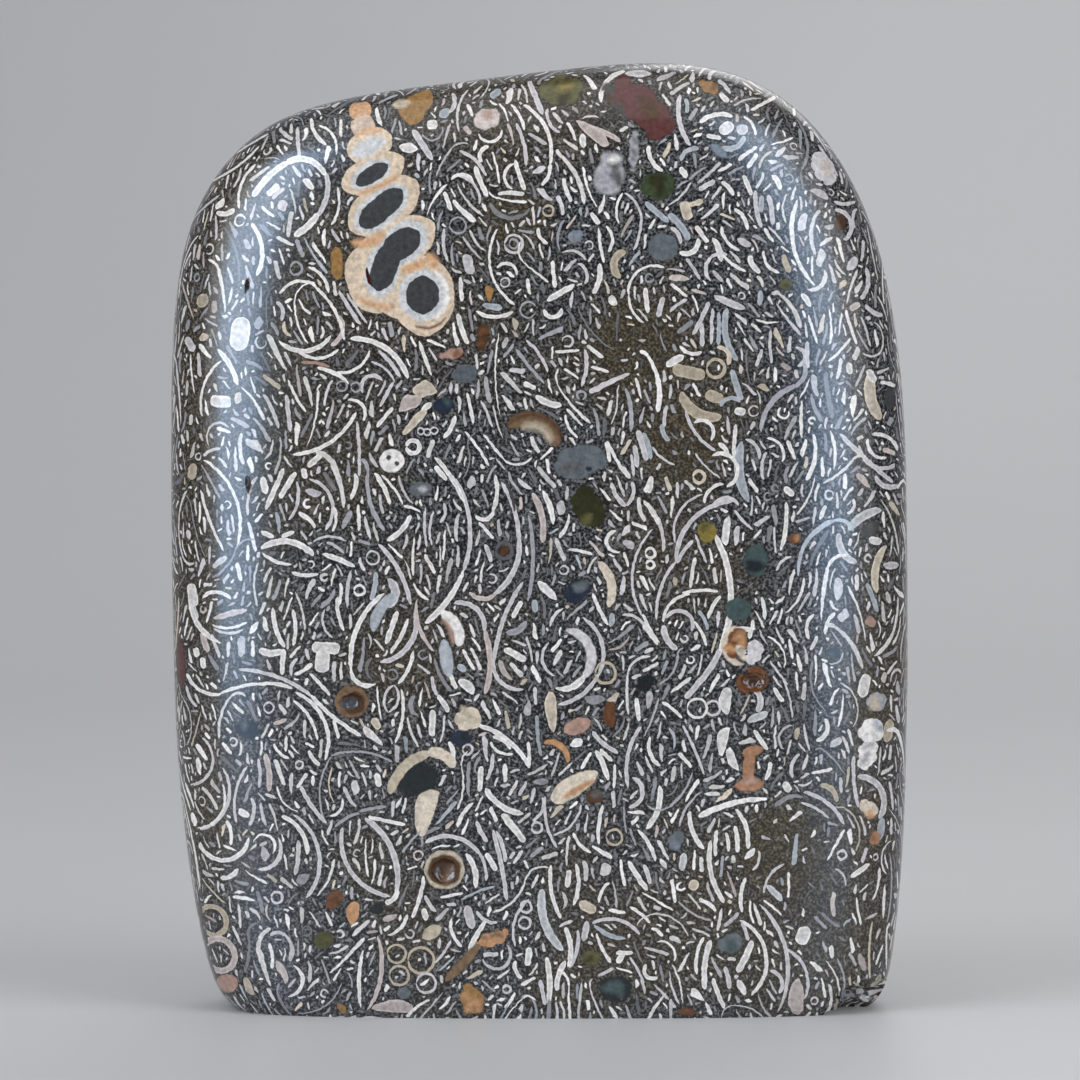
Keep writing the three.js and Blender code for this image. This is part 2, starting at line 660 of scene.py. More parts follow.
@dataclass
class Marks:
    """Shell sections in the surface, a row to each: bent bars that thin towards their ends.

    Each lies in a flat frame of its own. It runs along a circle of radius bend that touches the
    frame's first direction at the centre, reaches as far as reach each way, and is 2 * thick
    across in the middle. Taper is how late it thins, skew moves its thickest part along and
    slants its broken ends, and soft is how wide its edge is. The frame faces out of the stone,
    along normal.
    """

    SLANT = 1.6  # how far skew slants the broken ends
    END_SHAPE = 0.7  # how bluntly the ends thin

    centre: np.ndarray
    normal: np.ndarray
    along: np.ndarray
    across: np.ndarray
    bend: np.ndarray
    reach: np.ndarray
    thick: np.ndarray
    taper: np.ndarray
    skew: np.ndarray
    tint: np.ndarray
    soft: np.ndarray

    def __len__(self) -> int:
        """How many there are."""
        return len(self.bend)

    def pick(self, rows: np.ndarray) -> "Marks":
        """Some of the rows, in the order asked for."""
        return Marks(*(getattr(self, field.name)[rows] for field in fields(self)))

    @staticmethod
    def joined(parts: list["Marks"]) -> "Marks":
        """All the rows of several sets, in order."""
        columns = ([getattr(part, field.name) for part in parts] for field in fields(Marks))
        return Marks(*(np.concatenate(column) for column in columns))

    def depth(self, x: np.ndarray, y: np.ndarray) -> np.ndarray:
        """How far places in the flat frames are outside their shells, negative inside.

        Args:
            x: Millimetres along, a row for each shell.
            y: Millimetres across, a row for each shell.

        Returns:
            The distance at each place.
        """
        bend, reach = self.bend[:, None], self.reach[:, None]
        radius = np.hypot(x, y - bend)
        slant = (bend - radius) * self.skew[:, None] * self.SLANT
        run = np.arctan2(x, bend - y) * bend + slant
        share = np.minimum(np.abs(run) / reach, 1)
        half = self.thick[:, None] * (1 - share ** self.taper[:, None]) ** self.END_SHAPE
        half = half * (1 + self.skew[:, None] * run / reach)
        return np.abs(bend - radius) - half + np.maximum(0, np.abs(run) - reach)

    def samples(self, spacing: float, margin: float) -> np.ndarray:
        """Places spread over each shell, in its flat frame's plane.

        Args:
            spacing: The widest gap between them.
            margin: How far past the shell's own edge they go.

        Returns:
            An array of shells by places by 3.
        """
        fewest = 3
        reach = np.minimum(self.reach + margin, self.bend * pi)
        steps = int(ceil(2 * reach.max() / spacing)) + 1
        rows = max(fewest, int(ceil(2 * (self.thick.max() + margin) / spacing)) + 1)
        run = np.linspace(-1, 1, steps)[None, :, None] * reach[:, None, None]
        share = np.minimum(np.abs(run) / self.reach[:, None, None], 1)
        half = self.thick[:, None, None] * (1 - share ** self.taper[:, None, None]) ** self.END_SHAPE
        off = np.linspace(-1, 1, rows)[None, None, :] * (half + margin)
        bend = self.bend[:, None, None]
        x = ((bend - off) * np.sin(run / bend)).reshape(len(self), -1, 1)
        y = (bend - (bend - off) * np.cos(run / bend)).reshape(len(self), -1, 1)
        return self.centre[:, None] + x * self.along[:, None] + y * self.across[:, None]


@dataclass(frozen=True)
class Kind:
    """One kind of shell section, as it lies at random over the surface."""

    name: str
    tries: float  # how many are tried for each square centimetre
    reach: tuple[float, float]
    thick: tuple[float, float]
    bend: tuple[float, float]
    tints: tuple[tuple[Tint, float], ...]
    taper: tuple[float, float] = (1.6, 4.0)
    gap: float = 0.14
    stray: float = 18.0  # degrees from the local bedding
    bald: float = 0.6  # how strongly it keeps out of the bald patches
    turns: tuple[float, float] = (0.0, 0.0)  # a ring's share of the full circle, from least to most
    curl: float = 0.0  # how many of them hook round at one end
    steps: int = 1


@dataclass(frozen=True)
class Patch:
    """A round patch of the front face, for where the bed changes."""

    FALL = 1.6  # how steeply its share falls towards its edge

    x: float
    z: float
    radius: float

    def share(self, points: np.ndarray) -> np.ndarray:
        """How far inside the patch points are: 1 in its middle, 0 outside it."""
        away = np.hypot(points[:, 0] - self.x, points[:, 2] - self.z) / self.radius
        return np.clip(self.FALL - self.FALL * away, 0, 1) * (points[:, 1] < 0)


class Shells:
    """The bed of shells that is packed over the block's surface, each in room that is free."""

    CELL = 0.25  # the size of the cells that record where the surface is taken
    BATCH = 2000  # how many shells are tested against the bed at a time
    FLOW_LEAN = 34  # degrees that the bedding swings over short distances
    TURN_LEAN = 18  # and over long ones
    LOOSE = 0.14  # the share of shells that lie any way at all
    WIDEST_SWEEP = 2.6  # radians that a bar may curve through, each way
    SHADES = (0.7, 1.14)  # how much darker or lighter than its tint a shell may be
    SKEW = 0.5  # the most that a shell is skewed, either way
    SOFT = 0.09  # how wide a shell's edge is
    REACH_POWER = 1.5  # the higher, the more of them are short
    THICK_POWER = 1.3  # and the more of them are thin
    HOOK_BEND = (0.9, 3.2)
    HOOK_SWEEP = (0.35, 0.85)  # radians, each way
    HOOK_TAPER = 6.0

    def __init__(self, block: Block, seed: int) -> None:
        """Starts an empty bed.

        Args:
            block: The block that it covers.
            seed: Fixes every random choice.
        """
        self.block = block
        self.random = np.random.default_rng(seed)
        margin = 2.0
        self.low = np.array([-block.size[0] / 2 - margin, -block.size[1] / 2 - margin, -margin])
        span = np.array(block.size) + 2 * margin
        self.counts = np.ceil(span / self.CELL).astype(np.int64)
        self.taken = np.zeros(int(self.counts.prod()), bool)
        self.parts: list[Marks] = []
        self.flow = Wander(self.random, size=13.0, waves=24)
        self.turn = Wander(self.random, size=31.0, waves=20)
        self.bare = Wander(self.random, size=17.0, waves=24)

    def cells(self, points: np.ndarray) -> np.ndarray:
        """Finds the cells that points lie in.

        Args:
            points: Places in millimetres, the last axis being x, y and z.

        Returns:
            The cells' numbers.
        """
        index = ((points - self.low) / self.CELL).astype(np.int64)
        index = np.clip(index, 0, self.counts - 1)
        return (index[..., 0] * self.counts[1] + index[..., 1]) * self.counts[2] + index[..., 2]

    def laid(self, marks: Marks, points: np.ndarray, steps: int) -> np.ndarray:
        """Moves points of the flat frames straight down onto the surface.

        Args:
            marks: The shells that the points belong to.
            points: The points, shells by places by 3.
            steps: How many times the move is made truer.

        Returns:
            The points on the surface.
        """
        least_slope, longest_move = 0.004, 4
        normal = marks.normal
        slope = np.einsum("ij,ij->i", self.block.slopes(marks.centre), normal)
        moved = points.astype(np.float32)
        direction = normal[:, None].astype(np.float32)
        rate = (1 / np.maximum(slope, least_slope)).astype(np.float32)[:, None]
        for _ in range(steps):
            rise = (1 - self.block.gauge(moved)) * rate
            moved = moved + np.clip(rise, -longest_move, longest_move)[..., None] * direction
        return moved

    def add(self, marks: Marks, steps: int = 6) -> None:
        """Puts shells in place whether or not they cross others.

        Args:
            marks: The shells.
            steps: How truly they are laid on the surface.
        """
        spacing, margin = self.CELL * 0.8, 0.05
        for row in range(len(marks)):
            one = marks.pick(np.array([row]))
            covered = self.laid(one, one.samples(spacing, margin), steps)
            self.taken[self.cells(covered).ravel()] = True
        self.parts.append(marks)

    def settle(self, marks: Marks, kind: Kind) -> int:
        """Keeps the shells that have room, in order.

        Args:
            marks: The shells that are tried.
            kind: What they are, for their gap.

        Returns:
            How many found room.
        """
        spacing = self.CELL * 0.85
        spine = replace(marks, thick=np.zeros(len(marks)))
        first = self.cells(self.laid(spine, spine.samples(marks.reach.max() / 3, 0.0), kind.steps))
        marks = marks.pick(np.flatnonzero(~self.taken[first].any(1)))
        kept = []
        for start in range(0, len(marks), self.BATCH):
            batch = marks.pick(np.arange(start, min(start + self.BATCH, len(marks))))
            body = self.cells(self.laid(batch, batch.samples(spacing, 0.0), kind.steps))
            round_it = self.cells(self.laid(batch, batch.samples(spacing, kind.gap), kind.steps))
            free = ~self.taken[round_it].any(1)
            for row in np.flatnonzero(free):
                if not self.taken[round_it[row]].any():
                    self.taken[body[row]] = True
                    kept.append(start + row)
        self.parts.append(marks.pick(np.array(kept, int)))
        return len(kept)

    def scattered(self, kind: Kind, count: int, places: np.ndarray) -> Marks:
        """Makes shells of one kind at random places.

        Args:
            kind: What they are.
            count: How many.
            places: Points on the surface to draw from.

        Returns:
            The shells.
        """
        draw = self.random
        steepest = 0.9  # where the surface is more level than this, up is taken to be along Y
        centre = self._with_room(places[draw.integers(0, len(places), count)], kind.bald)
        count = len(centre)
        slopes = self.block.slopes(centre)
        normal = slopes / np.linalg.norm(slopes, axis=1)[:, None]
        level = np.abs(normal[:, 2:]) > steepest
        up = np.where(level, np.array([[0, 1.0, 0]]), np.array([[0, 0, 1.0]]))
        up = up - (up * normal).sum(1)[:, None] * normal
        up /= np.linalg.norm(up, axis=1)[:, None]
        aside = np.cross(normal, up)
        lean = radians(self.FLOW_LEAN) * self.flow(centre) + radians(self.TURN_LEAN) * self.turn(centre)
        lean = lean + radians(kind.stray) * draw.normal(0, 1, count)
        loose = draw.random(count) < self.LOOSE
        lean = np.where(loose, draw.uniform(0, pi, count), lean)
        along = np.cos(lean)[:, None] * up + np.sin(lean)[:, None] * aside
        side = np.where(draw.random(count) < 0.5, 1.0, -1.0)[:, None]
        across = np.cross(normal, along) * side
        reach = self._between(kind.reach, count, self.REACH_POWER)
        bend = np.exp(self._between(tuple(np.log(kind.bend)), count, 1.0))
        turns = draw.uniform(*kind.turns, count)
        bar_reach = np.minimum(reach, bend * self.WIDEST_SWEEP)
        reach = np.where(turns > 0, bend * pi * turns, bar_reach)
        thick = self._between(kind.thick, count, self.THICK_POWER)
        tints, weights = zip(*kind.tints)
        chosen = draw.choice(len(tints), count, p=np.array(weights) / sum(weights))
        colours = np.array([linear(*tint.value) for tint in tints])[chosen]
        colours = colours * draw.uniform(*self.SHADES, (count, 1))
        taper = draw.uniform(*kind.taper, count)
        skew = draw.uniform(-self.SKEW, self.SKEW, count)
        soft = np.full(count, self.SOFT)
        return Marks(centre, normal, along, across, bend, reach, thick, taper, skew, colours, soft)

    def _with_room(self, centre: np.ndarray, bald: float) -> np.ndarray:
        """Leaves out most of the places where the rock is bare.

        Args:
            centre: Places in millimetres, one to a row.
            bald: How strongly a kind of shell keeps out of the bald patches.

        Returns:
            The places that stay.
        """
        mottle, threshold, steepness, strength = 0.25, 1.55, 3, 1.62
        noise = self.random.uniform(-1, 1, len(centre)) * mottle
        room = self.bare(centre) + noise > bald - threshold
        for patch in BALD_PATCHES:
            share = np.minimum(patch.share(centre) * steepness, 1)
            room &= share * bald * strength < self.random.random(len(centre))
        return centre[room]

    def curled(self, marks: Marks, share: float) -> Marks:
        """Makes the hooks that carry some shells on round a tighter curve.

        Args:
            marks: The shells.
            share: How many of them get a hook.

        Returns:
            The hooks, each of which starts inside the end of its shell.
        """
        overlap, same_way, slimmer = 1.5, 0.7, 0.9
        marks = marks.pick(np.flatnonzero(self.random.random(len(marks)) < share))
        count = len(marks)
        run = (marks.reach - marks.thick * overlap) / marks.bend
        x, y = marks.bend * np.sin(run), marks.bend * (1 - np.cos(run))
        end = marks.centre + x[:, None] * marks.along + y[:, None] * marks.across
        along = np.cos(run)[:, None] * marks.along + np.sin(run)[:, None] * marks.across
        inward = np.cos(run)[:, None] * marks.across - np.sin(run)[:, None] * marks.along
        across = inward * np.where(self.random.random(count) < same_way, 1.0, -1.0)[:, None]
        bend = self.random.uniform(*self.HOOK_BEND, count)
        reach = bend * self.random.uniform(*self.HOOK_SWEEP, count)
        middle = end + (bend * np.sin(reach / bend))[:, None] * along
        middle += (bend * (1 - np.cos(reach / bend)))[:, None] * across
        turn = (reach / bend)[:, None]
        tangent = np.cos(turn) * along + np.sin(turn) * across
        facing = np.cos(turn) * across - np.sin(turn) * along
        frame_there = {"centre": middle, "along": tangent, "across": facing}
        size = {"bend": bend, "reach": reach, "thick": marks.thick * slimmer}
        ends = {"taper": np.full(count, self.HOOK_TAPER), "skew": np.zeros(count)}
        return replace(marks, **frame_there, **size, **ends)

    def _between(self, limits: tuple[float, float], count: int, power: float) -> np.ndarray:
        """Random numbers between limits, the more of them low the higher the power."""
        return limits[0] + (limits[1] - limits[0]) * self.random.random(count) ** power

    def all(self) -> Marks:
        """Every shell in the bed, those that lie on top last."""
        return Marks.joined(self.parts)


class Wander:
    """A smooth random number from -1 to 1 that changes over a distance."""

    def __init__(self, random: np.random.Generator, size: float, waves: int) -> None:
        """Draws the waves that it is a sum of.

        Args:
            random: Where its waves come from.
            size: How far apart its highs are, in millimetres.
            waves: How many waves.
        """
        stretch = (0.6, 1.4)  # how the waves' lengths vary
        direction = random.normal(0, 1, (waves, 3))
        direction /= np.linalg.norm(direction, axis=1)[:, None]
        self.waves = direction * random.uniform(*stretch, (waves, 1)) * 2 * pi / (2 * size)
        self.phases = random.uniform(0, 2 * pi, waves)

    def __call__(self, points: np.ndarray) -> np.ndarray:
        """The number at each point.

        Args:
            points: Places in millimetres, one to a row.

        Returns:
            The numbers.
        """
        gain = 0.9
        total = np.sin(points @ self.waves.T + self.phases).sum(1)
        return np.clip(total / np.sqrt(len(self.phases)) * gain, -1, 1)


# ---------------------------------------------------------------------------------------------
# The front face
# ---------------------------------------------------------------------------------------------


@dataclass(frozen=True)
class Strip:
    """A shell of the front face that curves from one place through a second to a third."""

    STRAIGHT = 0.01  # below this much bow it is drawn as a straight piece

    start: Pair
    middle: Pair
    end: Pair
    wide: float  # half its width
    tint: Tint = Tint.WHITE
    taper: float = 5.0
    skew: float = 0.0
    soft: float = 0.06

    def marks(self, block: Block) -> Marks:
        """Makes the one shell.

        Args:
            block: The block that it lies on.

        Returns:
            Its one row.
        """
        first, middle, last = (complex(*place) for place in (self.start, self.middle, self.end))
        ratio = (last - first) / (middle - first)
        if abs(ratio.imag) < self.STRAIGHT:
            return self._straightened().marks(block)
        hub = first + (middle - first) * (ratio - abs(ratio) ** 2) / (2j * ratio.imag)
        bend = abs(first - hub)
        sweep = phase((last - hub) / (first - hub))
        if phase((middle - hub) / (first - hub)) * sweep < 0:
            sweep -= 2 * pi if sweep > 0 else -2 * pi
        spoke = (first - hub) / bend * rect(1, sweep / 2)
        along = spoke * (1j if sweep > 0 else -1j)
        return front_marks(block, hub + spoke * bend, along, -spoke, (bend, abs(sweep) * bend / 2), self)

    def _straightened(self) -> "Blob":
        """The straight piece that reaches from start to end.

        Returns:
            The piece.
        """
        run = complex(*self.end) - complex(*self.start)
        between = ((self.start[0] + self.end[0]) / 2, (self.start[1] + self.end[1]) / 2)
        size = (abs(run) / 2, self.wide, degrees(phase(run)))
        return Blob(between, *size, self.tint, self.taper, self.skew, self.soft)


@dataclass(frozen=True)
class Blob:
    """A straight piece in the front face: an oval, a bar, or a wedge where it is skewed."""

    BEND = 400.0  # its radius, so large that it looks straight

    at: Pair
    long: float  # half its length
    wide: float  # half its width
    tilt: float = 0.0  # degrees from +X
    tint: Tint = Tint.WHITE
    taper: float = 2.4
    skew: float = 0.0
    soft: float = 0.06

    def marks(self, block: Block) -> Marks:
        """Makes the one piece, as one row of the block's marks."""
        along = rect(1, radians(self.tilt))
        return front_marks(block, complex(*self.at), along, along * 1j, (self.BEND, self.long), self)


@dataclass(frozen=True)
class Loop:
    """A ring in the front face, whole or open on one side."""

    at: Pair
    radius: float
    wide: float  # half the wall's width
    tint: Tint = Tint.WHITE
    turns: float = 1.0
    faces: float = 0.0  # where the middle of the wall is, in degrees from +X
    taper: float = 9.0
    skew: float = 0.0
    soft: float = 0.06

    def marks(self, block: Block) -> Marks:
        """Makes the one ring.

        Args:
            block: The block that it lies on.

        Returns:
            Its one row.
        """
        spoke = rect(1, radians(self.faces))
        start = complex(*self.at) + spoke * self.radius
        size = (self.radius, self.radius * pi * self.turns)
        return front_marks(block, start, spoke * 1j, -spoke, size, self)


@dataclass(frozen=True)
class Pebble:
    """A pebble in the front face: an uneven body of overlapping lobes, with stains in it."""

    LOBE = (0.3, 0.55)  # a lobe's size as a share of the pebble's own, from least to most
    LOBES_OUT = 1.12  # how far out the lobes sit
    BODY = (0.9, 0.88)  # how much of the length and the width the body fills
    STAINS = 3
    STAIN = (0.2, 0.42)
    STAINS_OUT = 0.6
    STAIN_SOFT = 0.9

    at: Pair
    long: float
    wide: float
    tilt: float = 0.0
    tint: Tint = Tint.OLIVE
    stain: Tint = Tint.SHADE
    lobes: int = 5
    soft: float = 0.3

    def marks(self, block: Block) -> Marks:
        """Makes the lobes round its edge, the body over them, and the stains last.

        Args:
            block: The block that it lies on.

        Returns:
            A row for each.
        """
        seed = int(abs(self.at[0]) * 70 + abs(self.at[1]) * 13)
        draw = np.random.default_rng(seed)
        parts = []
        for number in range(self.lobes):
            way = 2 * pi * (number + draw.uniform(0, 0.8)) / self.lobes
            size = self.wide * draw.uniform(*self.LOBE)
            spot = complex((self.long - size) * cos(way), (self.wide - size) * sin(way)) * self.LOBES_OUT
            tilt = self.tilt + degrees(way) + 90
            parts.append(Blob(self._spot(spot), size * 1.5, size, tilt, self.tint, soft=self.soft))
        long, wide = self.long * self.BODY[0], self.wide * self.BODY[1]
        parts.append(Blob(self.at, long, wide, self.tilt, self.tint, soft=self.soft))
        for _ in range(self.STAINS):
            out = self.STAINS_OUT
            spot = complex(self.long * draw.uniform(-out, out), self.wide * draw.uniform(-out, out))
            size = self.wide * draw.uniform(*self.STAIN)
            tilt = draw.uniform(0, 180)
            parts.append(Blob(self._spot(spot), size * 2, size, tilt, self.stain, soft=self.STAIN_SOFT))
        return Marks.joined([part.marks(block) for part in parts])

    def _spot(self, spot: complex) -> Pair:
        """Where a spot of the pebble's own frame is in the front face."""
        place = complex(*self.at) + spot * rect(1, radians(self.tilt))
        return (place.real, place.imag)


Feature = Union[Strip, Blob, Loop, Pebble]


def front_marks(
    block: Block, centre: complex, along: complex, across: complex, size: Pair, feature: Feature
) -> Marks:
    """Makes the row that stands for one shell of the front face.

    Args:
        block: The block that it lies on.
        centre: Its middle, as x + z * 1j.
        along: The direction that it runs in there.
        across: The direction of its hollow side.
        size: Its bend and its reach.
        feature: Where its width and its looks are.

    Returns:
        The row.
    """
    rows = [block.skin(centre.real, centre.imag), (0.0, -1.0, 0.0)]
    rows += [(way.real, 0.0, way.imag) for way in (along, across)]
    numbers = (*size, feature.wide, feature.taper, feature.skew)
    columns = [np.array([row], float) for row in rows]
    columns += [np.array([number], float) for number in numbers]
    tint = np.array([linear(*feature.tint.value)])
    return Marks(*columns, tint, np.array([feature.soft]))


def bits(tint: Tint, taper: float, *rows: tuple[float, ...]) -> tuple[Union[Strip, Blob], ...]:
    """Pieces of one tint and taper, straight or curved.

    Args:
        tint: Their colour.
        taper: How late they thin.
        rows: For a straight one, x and z of its middle, half its length, half its width, and
            its tilt. For a curved one, x and z of its start, middle and end, then half its width.

    Returns:
        The pieces.
    """
    pieces = []
    for row in rows:
        if len(row) == 5:
            pieces.append(Blob(row[:2], *row[2:], tint, taper))
        else:
            pieces.append(Strip(row[:2], row[2:4], row[4:6], row[6], tint, taper))
    return tuple(pieces)


# ---------------------------------------------------------------------------------------------
# What lies where
# ---------------------------------------------------------------------------------------------

# Tints, and how common each one is beside the others.
PALE = (
    (Tint.WHITE, 46),
    (Tint.PEARL, 24),
    (Tint.GREY, 15),
    (Tint.DULL, 9),
    (Tint.CREAM, 2.5),
    (Tint.PINK, 2.5),
    (Tint.BLUISH, 3),
)
EARTHY = (
    (Tint.CREAM, 12),
    (Tint.BEIGE, 7),
    (Tint.WHITE, 36),
    (Tint.PEARL, 24),
    (Tint.PINK, 9),
    (Tint.GREY, 9),
    (Tint.OCHRE, 1.5),
    (Tint.ROSE, 1.5),
)
PEBBLY = (
    (Tint.OCHRE, 4),
    (Tint.ORANGE, 3),
    (Tint.RUST, 3),
    (Tint.OLIVE, 4),
    (Tint.MOSS, 3),
    (Tint.MAROON, 2),
    (Tint.SLATE, 5),
    (Tint.NAVY, 3),
    (Tint.TEAL, 4),
    (Tint.INK, 4),
    (Tint.BEIGE, 4),
)
DIM = (
    (Tint.DULL, 5),
    (Tint.SHADE, 4),
    (Tint.HAZE, 6),
)

# Each kind's name, tries, reach, thickness, bend and tints, then what is special to it.
KINDS = (
    Kind(
        "long arcs", 3.4, (3.2, 7.5), (0.2, 0.42), (6.0, 44.0), PALE,
        taper=(5.0, 14.0), gap=0.3, stray=24, curl=0.5, steps=4,
    ),
    Kind(
        "threads", 6.0, (2.6, 7.0), (0.11, 0.19), (4.0, 36.0), PALE,
        taper=(6.0, 16.0), gap=0.24, stray=24, curl=0.6, steps=4,
    ),
    Kind(
        "whorls", 0.4, (0, 0), (0.15, 0.26), (1.2, 3.0), PALE,
        taper=(6.0, 9.0), gap=0.3, turns=(0.55, 1.0), steps=3,
    ),
    Kind(
        "crescents", 3.0, (1.8, 4.2), (0.18, 0.44), (1.6, 5.0), PALE,
        taper=(2.0, 9.0), gap=0.22, stray=50, curl=0.2, steps=3,
    ),
    Kind(
        "pebbles", 0.3, (1.2, 2.6), (0.9, 1.8), (9.0, 30.0), PEBBLY,
        taper=(2.0, 3.4), gap=0.3, stray=60, steps=3,
    ),
    Kind(
        "pieces", 4.0, (0.8, 2.1), (0.36, 0.8), (3.0, 20.0), EARTHY,
        taper=(1.4, 9.0), gap=0.16, stray=40, steps=2,
    ),
    Kind(
        "tubes", 1.4, (0, 0), (0.12, 0.2), (0.45, 1.1), PALE,
        taper=(6.0, 9.0), gap=0.16, turns=(0.7, 1.0),
    ),
    Kind(
        "bars", 140.0, (1.2, 3.5), (0.16, 0.37), (4.0, 60.0), PALE,
        taper=(3.0, 18.0), gap=0.12, stray=19,
    ),
    Kind(
        "slivers", 300.0, (0.6, 1.9), (0.13, 0.3), (1.5, 30.0), PALE,
        taper=(1.8, 12.0), gap=0.13, stray=30,
    ),
    Kind(
        "specks", 220.0, (0.25, 0.7), (0.13, 0.28), (0.8, 10.0), PALE,
        taper=(1.2, 9.0), gap=0.12, stray=50, bald=0.58,
    ),
    Kind(
        "crumbs", 160.0, (0.25, 0.9), (0.12, 0.24), (1.0, 20.0), DIM,
        taper=(1.4, 9.0), gap=0.06, stray=40, bald=0.5,
    ),
)

# Where few shells lie, and where the matrix is browner.
BALD_PATCHES = (
    Patch(38.0, 25.5, 9.5),
    Patch(47.0, 17.0, 10.0),
    Patch(15.0, 105.5, 7.0),
    Patch(21.8, 89.0, 6.5),
    Patch(33.6, 69.6, 5.0),
    Patch(8.4, 144.4, 6.5),
)
BROWN_PATCHES = (
    Patch(16.0, 105.0, 13.0),
    Patch(22.5, 90.0, 11.0),
    Patch(38.0, 26.0, 12.0),
    Patch(8.0, 145.0, 6.0),
    Patch(-4.0, 125.0, 8.0),
)

# The big turret shell, cut along its length: its walls, the pale linings of its chambers, the
# warmer stains in its walls, and the grit that fills the chambers. Millimetres, (x, z).
TURRET: tuple[Feature, ...] = (
    Blob((-28.3, 142.2), 1.8, 1.3, 8, Tint.APRICOT, taper=6, soft=0.15),
    Blob((-27.8, 139.6), 1.9, 1.6, 24, Tint.FLESH, taper=6, soft=0.15),
    Blob((-26.7, 136.5), 3.7, 2.4, 24, Tint.TAN, taper=4, soft=0.15),
    Blob((-26.1, 132.1), 5.4, 2.7, 26, Tint.TAN, taper=3, soft=0.15),
    Blob((-24.4, 127.0), 6.5, 3.6, 36, Tint.TAN, taper=3, soft=0.15),
    Blob((-22.7, 120.6), 7.2, 3.7, 30, Tint.TAN, taper=3, soft=0.15),
    Blob((-18.2, 112.9), 6.4, 4.9, 92, Tint.TAN, soft=0.15),
    Blob((-26.2, 115.6), 5.6, 4.0, 105, Tint.TAN, taper=3, soft=0.15),
    Blob((-22.6, 111.9), 3.6, 2.3, -28, Tint.TAN, soft=0.15),
    Blob((-26.8, 136.2), 3.0, 1.3, 26, Tint.MILK, soft=0.9),
    Blob((-26.4, 132.0), 3.6, 1.9, 32, Tint.MILK, soft=0.4),
    Blob((-24.8, 126.6), 5.2, 2.6, 40, Tint.MILK, taper=3, soft=0.5),
    Blob((-21.2, 121.2), 4.1, 3.0, 38, Tint.MILK, taper=3, soft=0.5),
    Blob((-24.6, 116.9), 4.4, 2.6, 78, Tint.MILK, taper=3, soft=0.5),
    Blob((-18.3, 113.0), 4.1, 3.7, 90, Tint.MILK, soft=0.5),
    Strip((-29.0, 137.8), (-26.8, 138.9), (-24.6, 138.7), 0.35, Tint.APRICOT, soft=0.6),
    Strip((-22.0, 131.9), (-25.0, 130.1), (-28.4, 128.8), 0.4, Tint.APRICOT, soft=0.8),
    Strip((-29.4, 121.4), (-26.8, 121.2), (-24.2, 122.9), 0.7, Tint.APRICOT, soft=0.9),
    Blob((-19.5, 117.5), 2.2, 0.7, 20, Tint.APRICOT, soft=0.8),
    Blob((-16.8, 118.4), 1.4, 0.8, -50, Tint.APRICOT, soft=0.9),
    Strip((-28.6, 112.9), (-26.0, 111.5), (-22.6, 111.3), 0.4, Tint.APRICOT, soft=0.7),
    Strip((-19.4, 108.2), (-17.0, 108.0), (-14.6, 109.6), 0.2, Tint.RUST, soft=0.4),
    Strip((-16.4, 116.6), (-14.5, 113.4), (-17.0, 109.3), 0.4, Tint.WHITE, soft=0.4),
    Blob((-26.3, 131.9), 2.9, 1.25, 33, Tint.FILL, taper=3.4, soft=0.15),
    Blob((-24.8, 126.6), 4.4, 1.85, 41, Tint.FILL, taper=3.6, soft=0.15),
    Blob((-21.6, 121.0), 3.3, 2.2, 34, Tint.FILL, taper=3, soft=0.15),
    Blob((-24.2, 117.4), 3.9, 2.0, 70, Tint.FILL, taper=3.2, soft=0.15),
    Blob((-18.3, 113.05), 3.05, 2.6, 90, Tint.FILL, soft=0.15),
    # A narrow slit in the turret, drawn flat as a dark mark and not cut: its own brown, and painted shade
    # where the crack's recess would be.
    Strip((-27.0, 117.4), (-26.8, 115.8), (-26.2, 114.3), 0.3, Tint.SLIT_BROWN_AND_SHADE, taper=2, soft=0.1),
)

